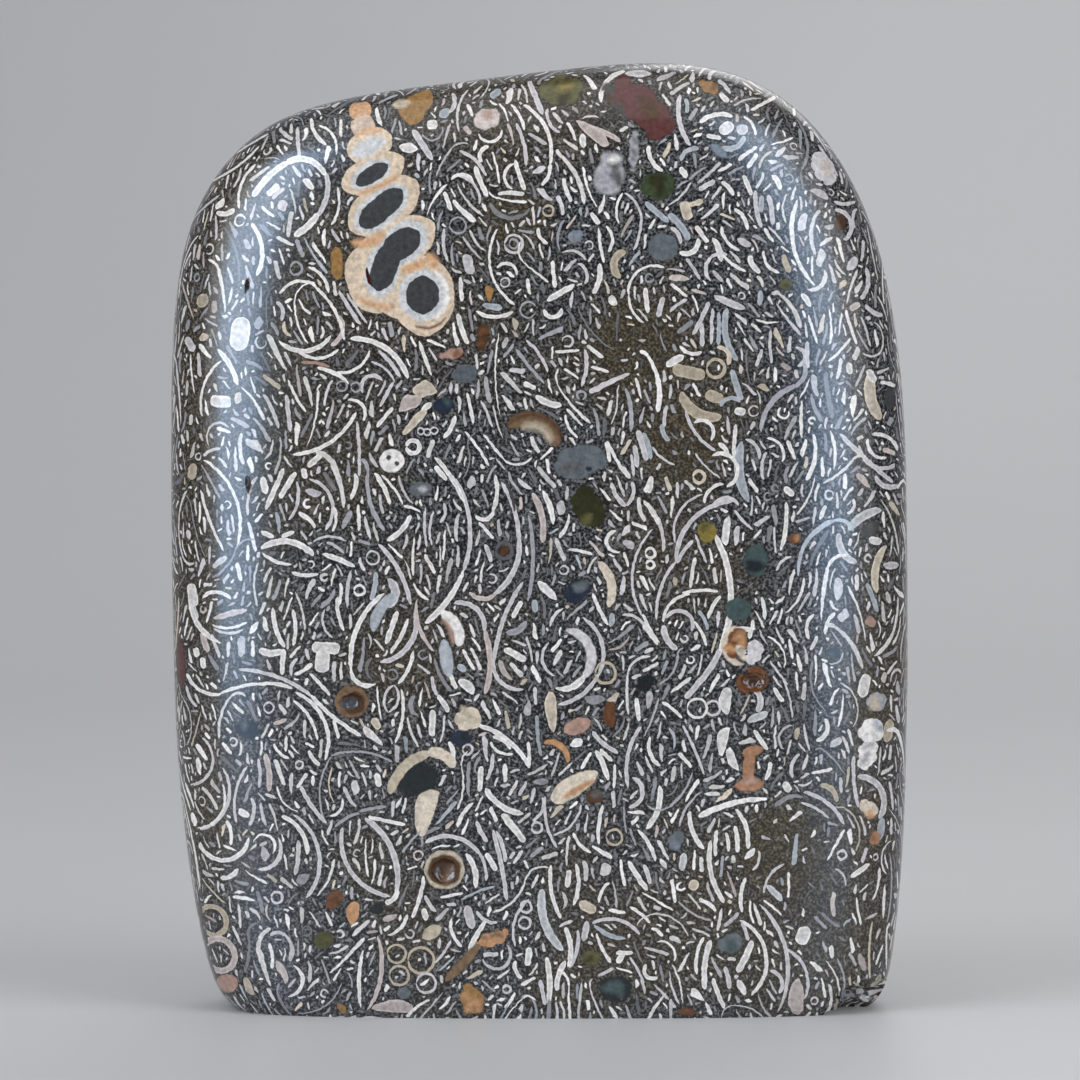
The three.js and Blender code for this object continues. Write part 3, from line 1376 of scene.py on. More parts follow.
# Shells, pebbles and rings that stand out in the front face. Millimetres, (x, z).
PIECES: tuple[Feature, ...] = (
    # The bigger shells, by colour.
    *bits(
        Tint.BEIGE, 2.4,
        (-53, 112.2, 1.2, 0.9, 60),
    ),
    *bits(
        Tint.BEIGE, 4,
        (22, 98, 24.2, 94.8, 28.4, 94.2, 0.85), (27.2, 97.2, 1.5, 0.9, -20), (-54.6, 85.4, 1.3, 0.7, 80),
        (54.8, 44.6, 1.8, 0.8, 80), (-53.6, 17, -54.2, 12.4, -50.4, 11.8, 0.42), (53.4, 4.2, 1.9, 0.5, 80),
    ),
    *bits(
        Tint.BEIGE, 8,
        (13.4, 119.8, 11.7, 118.6, 12.6, 115.8, 0.6), (23.2, 101, 2.6, 0.95, -12),
        (43.8, 36.4, 45.8, 35.6, 46.4, 33.8, 0.42),
    ),
    *bits(
        Tint.BLUISH, 2.4,
        (-15, 141.6, 1, 0.7, 40),
    ),
    *bits(
        Tint.BLUISH, 4,
        (-7, 144.8, 1, 0.6, 40), (34.4, 113.8, 34.4, 112.6, 34.2, 111.4, 0.4), (-7.4, 111.2, 1.6, 0.5, -10),
        (31.5, 90.2, 31, 86.4, 32.6, 80.8, 0.75), (-0.8, 64.6, 1, 0.5, -85),
        (11.2, 63.6, 11.2, 62.4, 11, 61.4, 0.45), (-12.2, 54.9, 0.8, 0.5, -40), (53.6, 29.2, 1.8, 0.6, 80),
        (8.4, 14.8, 10.8, 13.2, 13.4, 12.6, 0.35),
    ),
    *bits(
        Tint.BLUISH, 8,
        (22.8, 143.9, 23.1, 142.8, 23, 141.6, 0.35), (22, 134, 23, 135.6, 24.8, 135.9, 0.35),
        (28.3, 136.2, 30.6, 136.2, 32, 138, 0.45), (18.2, 126, 2.4, 0.45, -40),
        (20, 125.7, 21.8, 124, 23.2, 121.6, 0.55), (34.6, 128.6, 34.6, 127.4, 34.6, 126, 0.4),
        (27.9, 110.4, 27.9, 107.8, 27.8, 105.2, 0.3), (29.2, 111, 29, 106.6, 30.8, 102.8, 0.5),
        (29.9, 101.4, 30.6, 99, 31.5, 96.6, 0.5), (28.2, 95.6, 29.6, 97, 31.2, 96.4, 0.35),
        (16, 91.6, 17, 89.2, 17.2, 87.4, 0.35), (19.2, 93, 19.2, 91.6, 20.2, 90.4, 0.4),
        (-25.6, 69.8, -25.8, 67.4, -26.4, 65.4, 0.4), (51.2, 68, 52.2, 65.6, 53, 63.4, 0.4),
        (24.6, 63.8, 25.6, 62.6, 26.2, 60.8, 0.3),
    ),
    *bits(
        Tint.CREAM, 2.4,
        (24, 21, 0.9, 0.8, 30),
    ),
    *bits(
        Tint.CREAM, 4,
        (52.2, 101.2, 51.8, 97.4, 53.6, 93.6, 0.95), (54.4, 73.8, 52.6, 70, 52.9, 66.4, 0.65),
        (-25.6, 46.2, 1, 0.6, -60), (7.4, 17.6, 1.5, 0.8, -30),
    ),
    *bits(
        Tint.CREAM, 8,
        (22.8, 126.2, 1.5, 0.8, -75), (24.4, 127.4, 1.1, 0.4, 15),
        (27.6, 104.8, 29.2, 104.2, 29.2, 102.2, 0.35),
    ),
    *bits(
        Tint.GREY, 4,
        (-5.4, 60.4, -3.4, 60.8, -2.2, 62.2, 0.5),
    ),
    *bits(
        Tint.GREY, 8,
        (-1.8, 78.8, -1.1, 71.5, -1.9, 65.2, 0.3), (-28.2, 32.4, -26.4, 32.9, -24, 33.2, 0.25),
        (-28.2, 32.2, -30.6, 31.2, -32, 30, 0.25),
    ),
    *bits(
        Tint.GREY, 12,
        (-32.6, 41.2, -28.2, 41.8, -23, 40.2, 0.18), (-32.6, 41, -34.4, 36, -33.4, 30.4, 0.15),
    ),
    *bits(
        Tint.MILK, 4,
        (53.6, 79.4, 50.6, 78.4, 48.2, 76.2, 0.7), (34, 47.2, 1.7, 0.6, 22), (22.3, 24.6, 1.4, 0.6, 80),
        (35.4, 20.8, 36.6, 19.8, 37.8, 18.4, 0.5),
    ),
    *bits(
        Tint.MILK, 8,
        (0.4, 20.4, 0.8, 15, 3.6, 10.8, 0.65),
    ),
    *bits(
        Tint.PEARL, 2.4,
        (15.5, 148, 2.1, 0.6, 0),
    ),
    *bits(
        Tint.PEARL, 4,
        (-13.9, 145, -13.4, 143.4, -14.2, 141.8, 0.35), (31.7, 139, 0.9, 0.8, 0),
        (27.2, 112.9, 29.4, 111.9, 32, 110.9, 0.55), (-55, 105.4, 1.3, 0.6, -60), (55.2, 70.6, 1.3, 0.6, 0),
        (-55, 65.6, -54.6, 64, -53.8, 62.2, 0.55), (-23.8, 68.8, -22.6, 66.8, -23.8, 64.4, 0.7),
        (1.4, 58.9, 0.4, 56, 2.4, 53.6, 0.24), (-22.8, 52.3, -24.3, 50.2, -23.7, 47.9, 0.22),
        (-22.8, 52.3, -22.1, 50, -23.7, 47.9, 0.22), (-11, 16, 1.9, 0.7, -75), (7.1, 13.8, 1.6, 0.5, 80),
        (34.2, 18, 38.8, 8.2, 37.2, 0.8, 0.32),
    ),
    *bits(
        Tint.PEARL, 8,
        (-1.8, 147, -0.7, 144.2, 0.4, 141.4, 0.45), (28, 147, 29, 146.1, 29.9, 144.8, 0.3),
        (-12.6, 138.6, -12.8, 142.6, -11.2, 145.6, 0.18), (1.2, 142.4, 1.4, 140.2, 3.2, 138.4, 0.25),
        (22, 144.5, 21.7, 141.4, 23.6, 136.3, 0.38), (-38.2, 139.6, -38, 137.4, -37.7, 134.8, 0.3),
        (-18.4, 136.6, 2.9, 0.5, -57), (-12.7, 135.6, -10.4, 134.4, -8.4, 131.6, 0.25),
        (-3.8, 140, -2.6, 137, -2.2, 133.2, 0.3), (43.8, 136.8, 45.6, 134.2, 46.9, 131.8, 0.2),
        (-33.5, 132.2, -33.3, 128.6, -35.2, 125, 0.4), (24.8, 129.4, 26, 130.2, 27.4, 130.8, 0.4),
        (-51, 125.6, -50.8, 123.6, -51, 121.6, 0.2), (13.2, 129, 15.4, 126.6, 15.5, 122.6, 0.2),
        (20.4, 123.6, 21.6, 122.4, 22, 121, 0.3), (35.6, 128.8, 36.2, 126.4, 36.3, 124, 0.4),
        (46.1, 127.8, 47.8, 127.4, 49.8, 128, 0.25), (49.9, 126.8, 49.2, 124.8, 49.6, 123.6, 0.25),
        (-14.9, 123.4, -15, 120.6, -14.4, 118.3, 0.25), (15.7, 124.6, 15.4, 122, 14.6, 120, 0.2),
        (50.7, 121.8, 50.8, 120, 50.4, 118.4, 0.25), (5.9, 118, 7.2, 116.8, 7, 114.8, 0.25),
        (-41.2, 112, -40.3, 111, -40.5, 109, 0.3), (-31.4, 113.8, -29.6, 110.8, -28, 108.4, 0.3),
        (-30.2, 113.4, -28.6, 110.9, -27, 108.6, 0.2), (18.8, 111.2, 1.6, 0.4, 75),
        (20.2, 110.4, 21.6, 111.6, 23, 112.4, 0.25), (26.4, 112, 25.2, 109.4, 23.8, 106.8, 0.35),
        (26.9, 111, 26.8, 108.4, 26.7, 105.4, 0.28), (51, 111.6, 52.4, 110.4, 54, 109.9, 0.35),
        (-2.2, 106, -0.4, 104.2, 1.2, 101, 0.25), (25.2, 108.6, 25.3, 106.8, 25.3, 105, 0.35),
        (34.6, 104.6, 34.2, 103.2, 33.6, 101.9, 0.3), (36, 107.6, 35.9, 105, 36.2, 102.4, 0.25),
        (39.9, 104.8, 41.4, 103.6, 40.2, 102, 0.3), (41.8, 105.8, 41.7, 103.6, 41.9, 101.6, 0.35),
        (50.3, 109.7, 51.2, 107.4, 51.8, 105, 0.18), (-53.5, 102.2, 1.9, 0.3, -86),
        (-27.6, 97.8, -26.6, 100.4, -24.6, 99.7, 0.3), (-26.4, 102.6, -24, 101.4, -22.6, 99.4, 0.18),
        (-23.9, 97.6, 2.2, 0.28, 62), (-25.2, 104.4, -23.4, 102.6, -21.8, 100.2, 0.3),
        (7, 104.6, 7.2, 101.6, 6.4, 98.8, 0.3), (-43.2, 97.6, -41.8, 95, -40.8, 92.2, 0.3),
        (-39.6, 97.5, -39.3, 94.5, -39, 91.8, 0.35), (-9.2, 96.6, -8.2, 94.6, -7.5, 92.4, 0.2),
        (19.8, 95.8, 19.4, 94, 19.4, 92.4, 0.3), (-52.8, 87.8, -51.4, 88.8, -50, 89.1, 0.25),
        (14.8, 89.6, 15, 88, 15.1, 86.2, 0.4), (15.2, 92, 16, 89.6, 16.6, 87.2, 0.45),
        (32, 90.6, 33.6, 89.6, 34.2, 87.4, 0.28), (14.2, 88.2, 14.4, 86.6, 14.6, 84.8, 0.25),
        (52.6, 84.8, 54, 83.2, 56.6, 83.2, 0.4), (-38, 84, -37.8, 81, -39.2, 77.9, 0.25),
        (-15, 80.6, -14.8, 79.2, -15.6, 77.6, 0.25), (-6, 83.9, -3.6, 78, -3.3, 74.7, 0.35),
        (13.4, 80.2, 12, 81.6, 11.2, 83.8, 0.35), (14.3, 84, 14.4, 81.6, 13.4, 80.2, 0.3),
        (27, 80, 29, 81.4, 31, 80.2, 0.3), (-35.4, 74.6, -32.6, 75.4, -30.2, 74.6, 0.2),
        (-17.8, 80, -18, 77, -17.6, 73.8, 0.2), (-16.6, 79.4, -17.2, 76.6, -16.8, 74, 0.2),
        (-12.6, 79, -13.1, 76.8, -12.9, 74.6, 0.28), (-13.2, 84.4, -10.9, 76.4, -12, 69.8, 0.35),
        (-8.6, 74.2, -8, 72.8, -7.6, 71.4, 0.35), (23.9, 74.8, 22.6, 73.4, 21.4, 71.2, 0.3),
        (24.2, 75.8, 25, 73.6, 26, 71.2, 0.2), (46.8, 75.8, 47, 73.6, 49.6, 71.2, 0.55),
        (-25.2, 74.2, -22.2, 70.4, -20.2, 64.8, 0.36), (-3.3, 75.3, -4.3, 69.6, -7.3, 66.3, 0.42),
        (-13.4, 65, -10.6, 64.6, -8.7, 60.6, 0.38), (12.8, 63.2, 15, 62.8, 16.6, 60.8, 0.22),
        (-51.6, 60, -50.8, 58, -50.2, 56.2, 0.28), (-51.2, 60.9, -49.4, 60.2, -46.4, 60.8, 0.2),
        (-33.6, 64, -33.6, 61, -32.4, 59.6, 0.18), (-19.6, 64, -20.2, 58.8, -25, 55.8, 0.42),
        (-2.6, 68.4, -6, 61.6, -7.2, 55.6, 0.34), (6.6, 62.8, 9.6, 59, 9, 53.6, 0.3),
        (19.3, 61.6, 19.8, 59.4, 21.4, 57.8, 0.5), (-7.2, 56, -6.2, 52.8, -2.6, 51.6, 0.32),
        (28.2, 58, 26.4, 54.6, 23.8, 51.6, 0.48), (35.9, 56, 37.6, 53.6, 38.8, 52.2, 0.18),
        (-55.6, 51.6, -55, 49.6, -53.8, 48.4, 0.25), (-16.8, 53.6, -16.6, 52, -16, 50.6, 0.3),
        (9.1, 54, 6.6, 50.8, 2.8, 49.2, 0.34), (24.8, 52.8, 23.8, 51.4, 22.6, 50.2, 0.45),
        (33.2, 51.6, 34.4, 50, 33.8, 48, 0.45), (38, 53, 39, 50, 39.4, 47, 0.15),
        (8.2, 45, 10, 43, 12.2, 41.6, 0.35), (41.2, 46, 41.6, 43.8, 42.2, 41.8, 0.18),
        (-44.2, 40.6, -43.8, 38.4, -44, 36, 0.25), (-7.4, 41.6, -7.5, 39.6, -8.4, 37.4, 0.3),
        (40.6, 41.4, 39.4, 39.8, 39.5, 37.6, 0.28), (0.4, 34.8, 0.2, 32.4, -1.2, 31, 0.25),
        (14.4, 37.8, 16, 35.8, 13.8, 33.2, 0.35), (40.8, 33.8, 43, 32.9, 45.2, 31.2, 0.22),
        (-45.1, 34.4, -44.8, 32.4, -45.6, 30, 0.3), (-9.9, 31, -9.2, 29.2, -8.2, 27.8, 0.35),
        (-37.8, 27.8, -37.8, 25.6, -38.4, 22.4, 0.35), (-9.6, 26.2, -8.6, 24, -8.4, 21.6, 0.25),
        (-6.8, 29.4, -5.8, 27, -5.4, 24.6, 0.3), (6.8, 24.8, 7.2, 23.2, 7, 21.6, 0.35),
        (16.2, 24.2, 16.8, 22.6, 17.2, 21.2, 0.35), (-17.9, 19.4, -17, 17.6, -16.2, 16.8, 0.3),
        (-9.9, 17, -8.4, 15.4, -6.6, 15.2, 0.28), (31.4, 15, 32.2, 13.6, 32.4, 12.2, 0.3),
        (-14, 12.4, -15, 10.4, -16.4, 8.8, 0.22), (5.9, 14, 5.8, 11, 4.6, 8, 0.28),
        (0, 6.2, 0.4, 4.2, 0.8, 2.2, 0.35), (28.8, 8.2, 29.4, 6.4, 29.6, 4.6, 0.35),
        (36, 7.4, 37.8, 6, 37.4, 3.8, 0.3),
    ),
    *bits(
        Tint.PEARL, 12,
        (-13, 131.8, -10.6, 130.6, -9.4, 127.2, 0.22), (33.7, 129.4, 33.8, 126.6, 34.6, 123.6, 0.35),
        (46.2, 126.4, 48.3, 125.6, 47.6, 121.7, 0.35), (51.2, 117.4, 51.5, 114.7, 50.3, 112.4, 0.35),
        (-28.6, 93.4, -28.2, 89, -28.2, 84.8, 0.25), (17.6, 89.4, 18.8, 87.8, 21, 86.6, 0.18),
        (22.7, 95.1, 24.2, 91.6, 27.4, 88.8, 0.25), (24.2, 88.4, 25.8, 86.4, 28.2, 84.5, 0.15),
        (35.3, 88.5, 34.6, 86.4, 34.8, 84.2, 0.25), (46.9, 91.4, 50.6, 87.8, 55.6, 83.6, 0.35),
        (50, 89.6, 52, 86.4, 56.2, 86.6, 0.3), (-36, 84.3, -33.3, 82.6, -33.6, 76.4, 0.28),
        (21.1, 74.4, 21.6, 79, 25.4, 82, 0.2), (21.2, 71.4, 24.4, 78.6, 30.2, 80.9, 0.35),
        (16.5, 80.8, 18.6, 77.6, 19.2, 73, 0.28), (17.6, 76.6, 14.6, 71, 16, 63, 0.2),
        (21.3, 71.6, 18.6, 66.6, 18.2, 62.4, 0.25), (19.6, 62.6, 21.8, 63.8, 23.6, 60.6, 0.3),
        (-47.2, 54.5, -41, 53.4, -35.6, 50.4, 0.3), (-55.2, 36, -52, 38, -53, 43.6, 0.22),
        (15.8, 45.8, 14, 42.4, 13.8, 36.2, 0.3), (22.2, 46, 24.2, 42, 25.6, 38.2, 0.22),
        (-49.8, 39, -48.8, 34, -53.6, 29, 0.25), (-45.8, 39.4, -47.8, 34.6, -47.6, 30.4, 0.22),
        (-37.4, 36.4, -35.6, 33.2, -33.4, 30.6, 0.35), (41.2, 35.4, 45, 33.6, 47.6, 30.2, 0.3),
        (49.2, 41, 49.2, 37, 49.9, 32.8, 0.3), (49.8, 37.6, 53.8, 35, 53.2, 30.8, 0.5),
        (-17.9, 27.6, -14.2, 28.6, -9.4, 25.8, 0.35), (0.8, 35, 1.2, 30, 2.6, 26.8, 0.22),
        (2, 28.8, 4, 29.6, 6.4, 33.6, 0.18), (-38.6, 31.9, -34.8, 27, -36.6, 18.8, 0.3),
        (-30.8, 30, -30, 23.8, -23.4, 19.2, 0.35), (-27.4, 31.4, -22.6, 25, -22.4, 20, 0.45),
        (-7.4, 29.6, -6, 24, -5.2, 18.6, 0.35), (38.2, 24.2, 35.8, 22.2, 35, 19.6, 0.2),
        (-3.8, 11.4, -3.6, 16.4, -1.6, 18.8, 0.2), (8.2, 15, 12, 15.6, 15.6, 13.2, 0.28),
        (14, 9.8, 15.6, 7, 16.4, 4, 0.2), (38.4, 10.8, 41, 8.6, 41.4, 2.8, 0.25),
    ),
    *bits(
        Tint.PINK, 4,
        (8.6, 138, 2.6, 0.45, -35), (49.4, 111.3, 1, 0.5, 30), (-51.2, 62.4, -48.6, 63.2, -45.8, 63.8, 0.45),
        (-6.8, 66.6, -8.8, 65.7, -11, 66.8, 0.38), (-52.6, 58.6, 1.6, 0.5, -70),
        (-19.2, 65.6, -18.6, 60.6, -16.5, 57.4, 0.3), (-40.6, 46.4, 1.1, 0.35, 20),
        (-25.4, 13, -24.8, 7.2, -27, 1.2, 0.35),
    ),
    *bits(
        Tint.PINK, 8,
        (6.4, 139.6, 9.4, 138.8, 12.6, 137, 0.4), (-41, 129, 1.3, 0.3, 42),
        (-31.4, 109.8, -30.8, 107.6, -32.6, 105.2, 0.35), (-1.2, 82.2, 0.3, 78.4, 0.4, 74.4, 0.5),
        (-8.8, 61, -7.8, 56.5, -8.6, 50.8, 0.44), (-43, 41.4, -42.4, 38.6, -42.4, 35.4, 0.45),
    ),
    *bits(
        Tint.ROSE, 8,
        (-37.4, 102.6, -35, 102.4, -32.8, 101.9, 0.25),
    ),
    *bits(
        Tint.SHADE, 8,
        (-5.4, 84, -4.4, 81.4, -3.9, 79.2, 0.22),
    ),
    *bits(
        Tint.WHITE, 2,
        (-20.6, 136.1, 1.5, 0.8, -8),
    ),
    *bits(
        Tint.WHITE, 2.4,
        (-17.7, 95.6, 1, 0.5, 40), (1.1, 67, 2.1, 0.65, -45), (31.9, 60.9, 1.8, 0.45, 2),
    ),
    *bits(
        Tint.WHITE, 4,
        (28.9, 144.1, 1, 0.45, -50), (-25.7, 142.6, -25.5, 141.2, -24.8, 139.6, 0.32),
        (29.2, 139.2, 1.2, 0.9, 30), (6.7, 137.2, 1.1, 0.5, -85), (22.4, 132.2, 1, 0.5, -60),
        (36.3, 131.8, 37.2, 130.8, 37.6, 129.5, 0.45), (26.9, 122, 28, 119.9, 28.3, 118.2, 0.5),
        (3.2, 113.4, 2.5, 0.5, 30), (41.6, 112.3, 1.2, 0.45, -55), (-46.9, 107, 2.7, 1.55, 82),
        (-40.8, 106, -36, 104.4, -32.6, 106.8, 0.38), (-17.9, 103.2, 2.9, 0.3, -70),
        (21, 102.8, 1.6, 0.6, 30), (48.4, 101.6, 0.9, 0.5, -85), (52, 100.4, 1.2, 0.6, -60),
        (31.2, 94.9, 0.9, 0.6, 0), (-43.1, 83.4, 1.4, 0.55, -80), (-36.8, 85.2, 0.9, 0.45, -75),
        (13.4, 85.4, 1.1, 0.4, -55), (-7.3, 79.6, -8.4, 78.1, -10, 78.7, 0.34),
        (0.4, 82.6, 1.5, 80.2, 2.1, 77.2, 0.42), (38.9, 82.4, 1, 0.5, -40), (-42.6, 75.7, 1.1, 0.4, -25),
        (-39.4, 75.7, 1.1, 0.35, 25), (29.5, 78.6, 29, 76.4, 29, 74, 0.6), (52.6, 74.6, 1.1, 0.6, -15),
        (-34, 72.7, -31.4, 71.8, -28.8, 70.6, 0.4), (-55, 66, -53.4, 61, -50, 58.6, 0.42),
        (33.3, 62.4, 33, 60.8, 32.6, 59.4, 0.35), (-54, 57, 0.8, 0.5, -80), (-52.9, 55.4, 0.9, 0.45, -85),
        (-29.5, 55, -28.4, 52.6, -25.6, 52.4, 0.34), (50.8, 51.9, 1.9, 0.9, 78), (-25.3, 37.4, 1.1, 0.5, -80),
        (38.6, 36.2, 0.9, 0.6, -60), (48.7, 21.8, 50.2, 22.8, 51.8, 23.8, 0.42), (-18, 16.4, 1, 0.5, -80),
        (41.2, 12.9, 1.5, 1.1, 70), (12.6, 9.6, 1, 0.45, 50), (45.7, 10.2, 1.1, 0.35, -85),
        (-38.6, 8.2, -37.4, 4.8, -39.5, 3.2, 0.3), (-27.6, 10.8, -28.3, 6.4, -28, 1.6, 0.3),
    ),
    *bits(
        Tint.WHITE, 8,
        (9.6, 143.2, 10.2, 146.2, 13.4, 148.4, 0.35), (-36, 141, -35.4, 138.6, -33.4, 136.6, 0.3),
        (-34.8, 139.8, -32.8, 138.6, -32, 135, 0.2), (-16.9, 139.8, 0.8, 0.75, 6),
        (-4.6, 143, -3.2, 141.2, -2.4, 138.9, 0.25), (4.2, 140.2, 5, 138.8, 5.6, 137.2, 0.25),
        (27.2, 137.8, 1.2, 0.35, -8), (-9, 133.8, -9.2, 135.6, -8, 136.3, 0.3),
        (-9.6, 138.4, -7.4, 137.1, -6, 139, 0.22), (17, 136.4, 17.6, 133.8, 19.2, 132.4, 0.35),
        (34, 135.2, 33.2, 134, 32.4, 132.9, 0.35), (-41.8, 129.5, 1.2, 0.55, 40),
        (-14.9, 129.2, -14.4, 127.6, -13.9, 126.2, 0.35), (-13.9, 131, -12, 131.9, -10.4, 130.4, 0.25),
        (-10.2, 133.2, -9.4, 131, -8.2, 128.4, 0.4), (-4, 133.6, -5.5, 132, -4.2, 129.6, 0.22),
        (-3.9, 134.2, -3.1, 131.4, -2.3, 129.4, 0.38), (1.5, 133.6, 1.3, 131.6, 0.2, 130.2, 0.3),
        (28.4, 130.8, 29.4, 129.9, 30.2, 128.6, 0.35), (31.8, 131.8, 32.4, 130.4, 33.1, 128.6, 0.38),
        (-50.8, 126.1, -49.2, 125.9, -47.9, 126.6, 0.4), (-34.6, 125.8, -36.2, 123.9, -38.4, 122.3, 0.55),
        (-13.6, 127.9, -12, 126, -10.2, 124.4, 0.35), (-11.5, 125.8, 2, 0.3, -40), (8.6, 125, 1.1, 0.35, -55),
        (12.3, 124.2, 12, 127, 12.9, 129, 0.2), (-6.7, 117.2, -4.8, 117.9, -3.6, 116.2, 0.25),
        (-0.2, 123.6, 0.2, 121.8, 1.2, 121, 0.28), (10.2, 123.8, 11.3, 121.4, 10.6, 119.8, 0.25),
        (21.8, 119.8, 23.8, 119.8, 24.6, 121.8, 0.4), (28.4, 119.6, 29.6, 118.2, 32.2, 116.8, 0.25),
        (32.8, 119.3, 33.4, 117.4, 34.4, 116.6, 0.45), (-36.2, 117.4, -34.4, 116.4, -33, 113.4, 0.25),
        (-12.4, 115.8, -12.3, 113.9, -12.2, 112, 0.3), (-6.9, 114.8, -5.4, 112.8, -3.9, 111.5, 0.22),
        (8.2, 113.2, 9.2, 115.2, 9.2, 118, 0.4), (20.3, 114.8, 21.6, 113.8, 23, 112.7, 0.25),
        (-12.8, 110.2, -12.2, 107.8, -11.2, 105.4, 0.4), (-10, 110.5, -7, 109.6, -4.2, 110.5, 0.3),
        (0.6, 110.8, 2.2, 109.6, 3.4, 111, 0.35), (13.9, 113, 14.4, 110.6, 16.2, 108.7, 0.2),
        (16.6, 112.2, 2, 0.4, -84), (42, 110, 42.6, 107.6, 43.4, 105.4, 0.2), (4.2, 104.3, 1.9, 0.25, 4),
        (8.6, 104.2, 1.6, 0.3, -38), (21.8, 105.2, 23.2, 104, 25.2, 104.2, 0.3),
        (45, 102.7, 46.6, 104, 48.6, 106.4, 0.22), (-50.5, 104.6, -48.5, 102, -47.3, 98.9, 0.4),
        (-34.8, 101.7, -32.4, 101, -29.8, 99.2, 0.3), (-1.6, 98.9, 1, 0.4, -25),
        (53.4, 99.4, 54.8, 99.2, 56, 98.8, 0.3), (-50, 96.4, 1.7, 0.9, -4),
        (-39.3, 99.8, -38, 97, -36.5, 94.8, 0.22), (-30, 96.6, -28, 96.2, -27.6, 93.4, 0.25),
        (-24.2, 94, 2, 0.3, 50), (-11.4, 97.8, -10.8, 95.4, -10.4, 93, 0.28),
        (-0.6, 97.4, 0.8, 96.4, 3.4, 95.9, 0.5), (-13.2, 94.2, -13.8, 92.4, -15, 90.8, 0.35),
        (-11.8, 91.8, -9.8, 89.4, -8, 86.4, 0.22), (-8.8, 91.4, -6.6, 88.6, -5.6, 87.4, 0.22),
        (4, 94.4, 4.6, 92.2, 6, 90.8, 0.2), (10.2, 90.2, 10.6, 88.6, 10.9, 87, 0.28),
        (27.8, 89.9, 28.8, 89.2, 29.2, 87.8, 0.35), (30.6, 93, 30.3, 90.2, 30.2, 87.6, 0.32),
        (38.6, 90.4, 39.2, 89, 39.8, 87.4, 0.3), (-41.4, 82.8, 3.6, 0.4, 66), (-39.4, 83.4, 2.4, 0.45, 58),
        (-35.1, 87.3, 1.5, 0.45, 42), (-28.8, 85.2, -28.8, 83, -29.6, 81.3, 0.35),
        (-25.8, 85.3, -24.4, 83.2, -23.4, 80.4, 0.35), (-24.8, 85, -22.9, 83, -21.4, 80.4, 0.2),
        (-16.4, 86.4, -15.4, 85.2, -14.6, 84.2, 0.4), (-16.4, 87.8, -13.8, 84.6, -11.8, 80.6, 0.35),
        (-5.6, 87.4, -3.6, 86.6, -1.2, 87.8, 0.2), (10.4, 90.4, 11.8, 87.6, 13.6, 84.6, 0.25),
        (17.2, 84.6, 17, 83.4, 16.2, 82.4, 0.4), (17.3, 84.8, 17.2, 83.2, 16.9, 82.2, 0.4),
        (32.6, 84.4, 33.2, 83.4, 34, 82.2, 0.3), (-32.2, 80.1, -31.8, 78.2, -32.4, 76.2, 0.22),
        (-28.3, 78.3, 2.1, 0.25, -88), (-7, 85, -6.8, 81.6, -7.4, 79.2, 0.34),
        (16.2, 81, 17.6, 79, 18.6, 77.2, 0.3), (-45.6, 77.6, -45, 75.4, -44.5, 73, 0.3),
        (-43.6, 73.4, -40.6, 74.6, -35.4, 72.4, 0.5), (-23.8, 74.8, -21.8, 76.2, -20.2, 78.8, 0.4),
        (-9.6, 77.6, -8.4, 76.4, -7.2, 75, 0.25), (4.4, 73.4, 6, 73.2, 8.2, 72.6, 0.25),
        (38.4, 80.8, 38.4, 77, 37.5, 73.2, 0.35), (-47.1, 69.8, 1.5, 0.35, -78),
        (-43.4, 72.8, -41.4, 71.5, -38.8, 71, 0.25), (-38.8, 69.8, -36.6, 69.3, -34.6, 69.6, 0.28),
        (-18, 72.6, -17.2, 71.2, -16.4, 69.6, 0.3), (24.2, 72.2, 23.8, 70, 23.5, 67.4, 0.3),
        (49.6, 69.4, 49.6, 68, 49.6, 66.8, 0.3), (-54.6, 66, 1.8, 0.8, -80),
        (-53, 65.6, -50.8, 66.6, -48.4, 65.4, 0.3), (-31.6, 66, -31.5, 63.4, -30.6, 60.6, 0.3),
        (-31.2, 68.2, -31, 66.6, -31.4, 64.6, 0.25), (-3.6, 64, 1.5, 0.4, 60),
        (8.2, 66.6, 9.2, 64.2, 10.6, 61.6, 0.3), (28.2, 66.2, 27, 64.6, 26.2, 62.6, 0.3),
        (34.6, 65.9, 35, 64, 35.1, 62.4, 0.3), (-51.4, 61.4, -48.6, 61, -45.8, 62, 0.22),
        (-41.7, 64.3, -41.4, 61.4, -39.9, 58, 0.35), (-38.6, 64, -38.2, 61, -38.6, 58.2, 0.3),
        (-33.4, 58, 2.2, 0.9, -4), (-24.3, 66.6, -28.8, 60.4, -29.5, 54.6, 0.38),
        (-22.2, 63.8, -23, 61.6, -24, 58.6, 0.42), (-20.6, 62.6, -21.6, 60, -23.4, 57.2, 0.32),
        (16, 63.4, 17, 61.2, 18.6, 58.8, 0.25), (16, 61.6, 17.2, 60.2, 18.4, 58.6, 0.3),
        (24, 62.2, 25.2, 60.4, 26, 58.2, 0.25), (44.7, 60, 45, 62, 46.2, 63.4, 0.3),
        (-43.9, 57.8, -42, 57.1, -40.2, 57.6, 0.55), (-40.2, 55.8, 2, 0.4, 86), (-34, 55.9, 1.7, 1.1, 85),
        (-19.8, 57.6, -20.6, 54.6, -22.2, 52.4, 0.28), (-14, 54, -13.6, 52.8, -13, 51.6, 0.35),
        (-12, 57.8, -11.2, 56.2, -10.2, 54.6, 0.28), (-3.9, 57, 1.9, 0.55, -28),
        (-50.2, 50.6, -47, 51.8, -44, 52.3, 0.25), (-36, 54, -34.4, 52.4, -32.8, 50.6, 0.28),
        (-25.4, 52, -25.2, 49.4, -24.8, 46.8, 0.15), (-16, 50.6, -15, 49.4, -14.3, 48, 0.38),
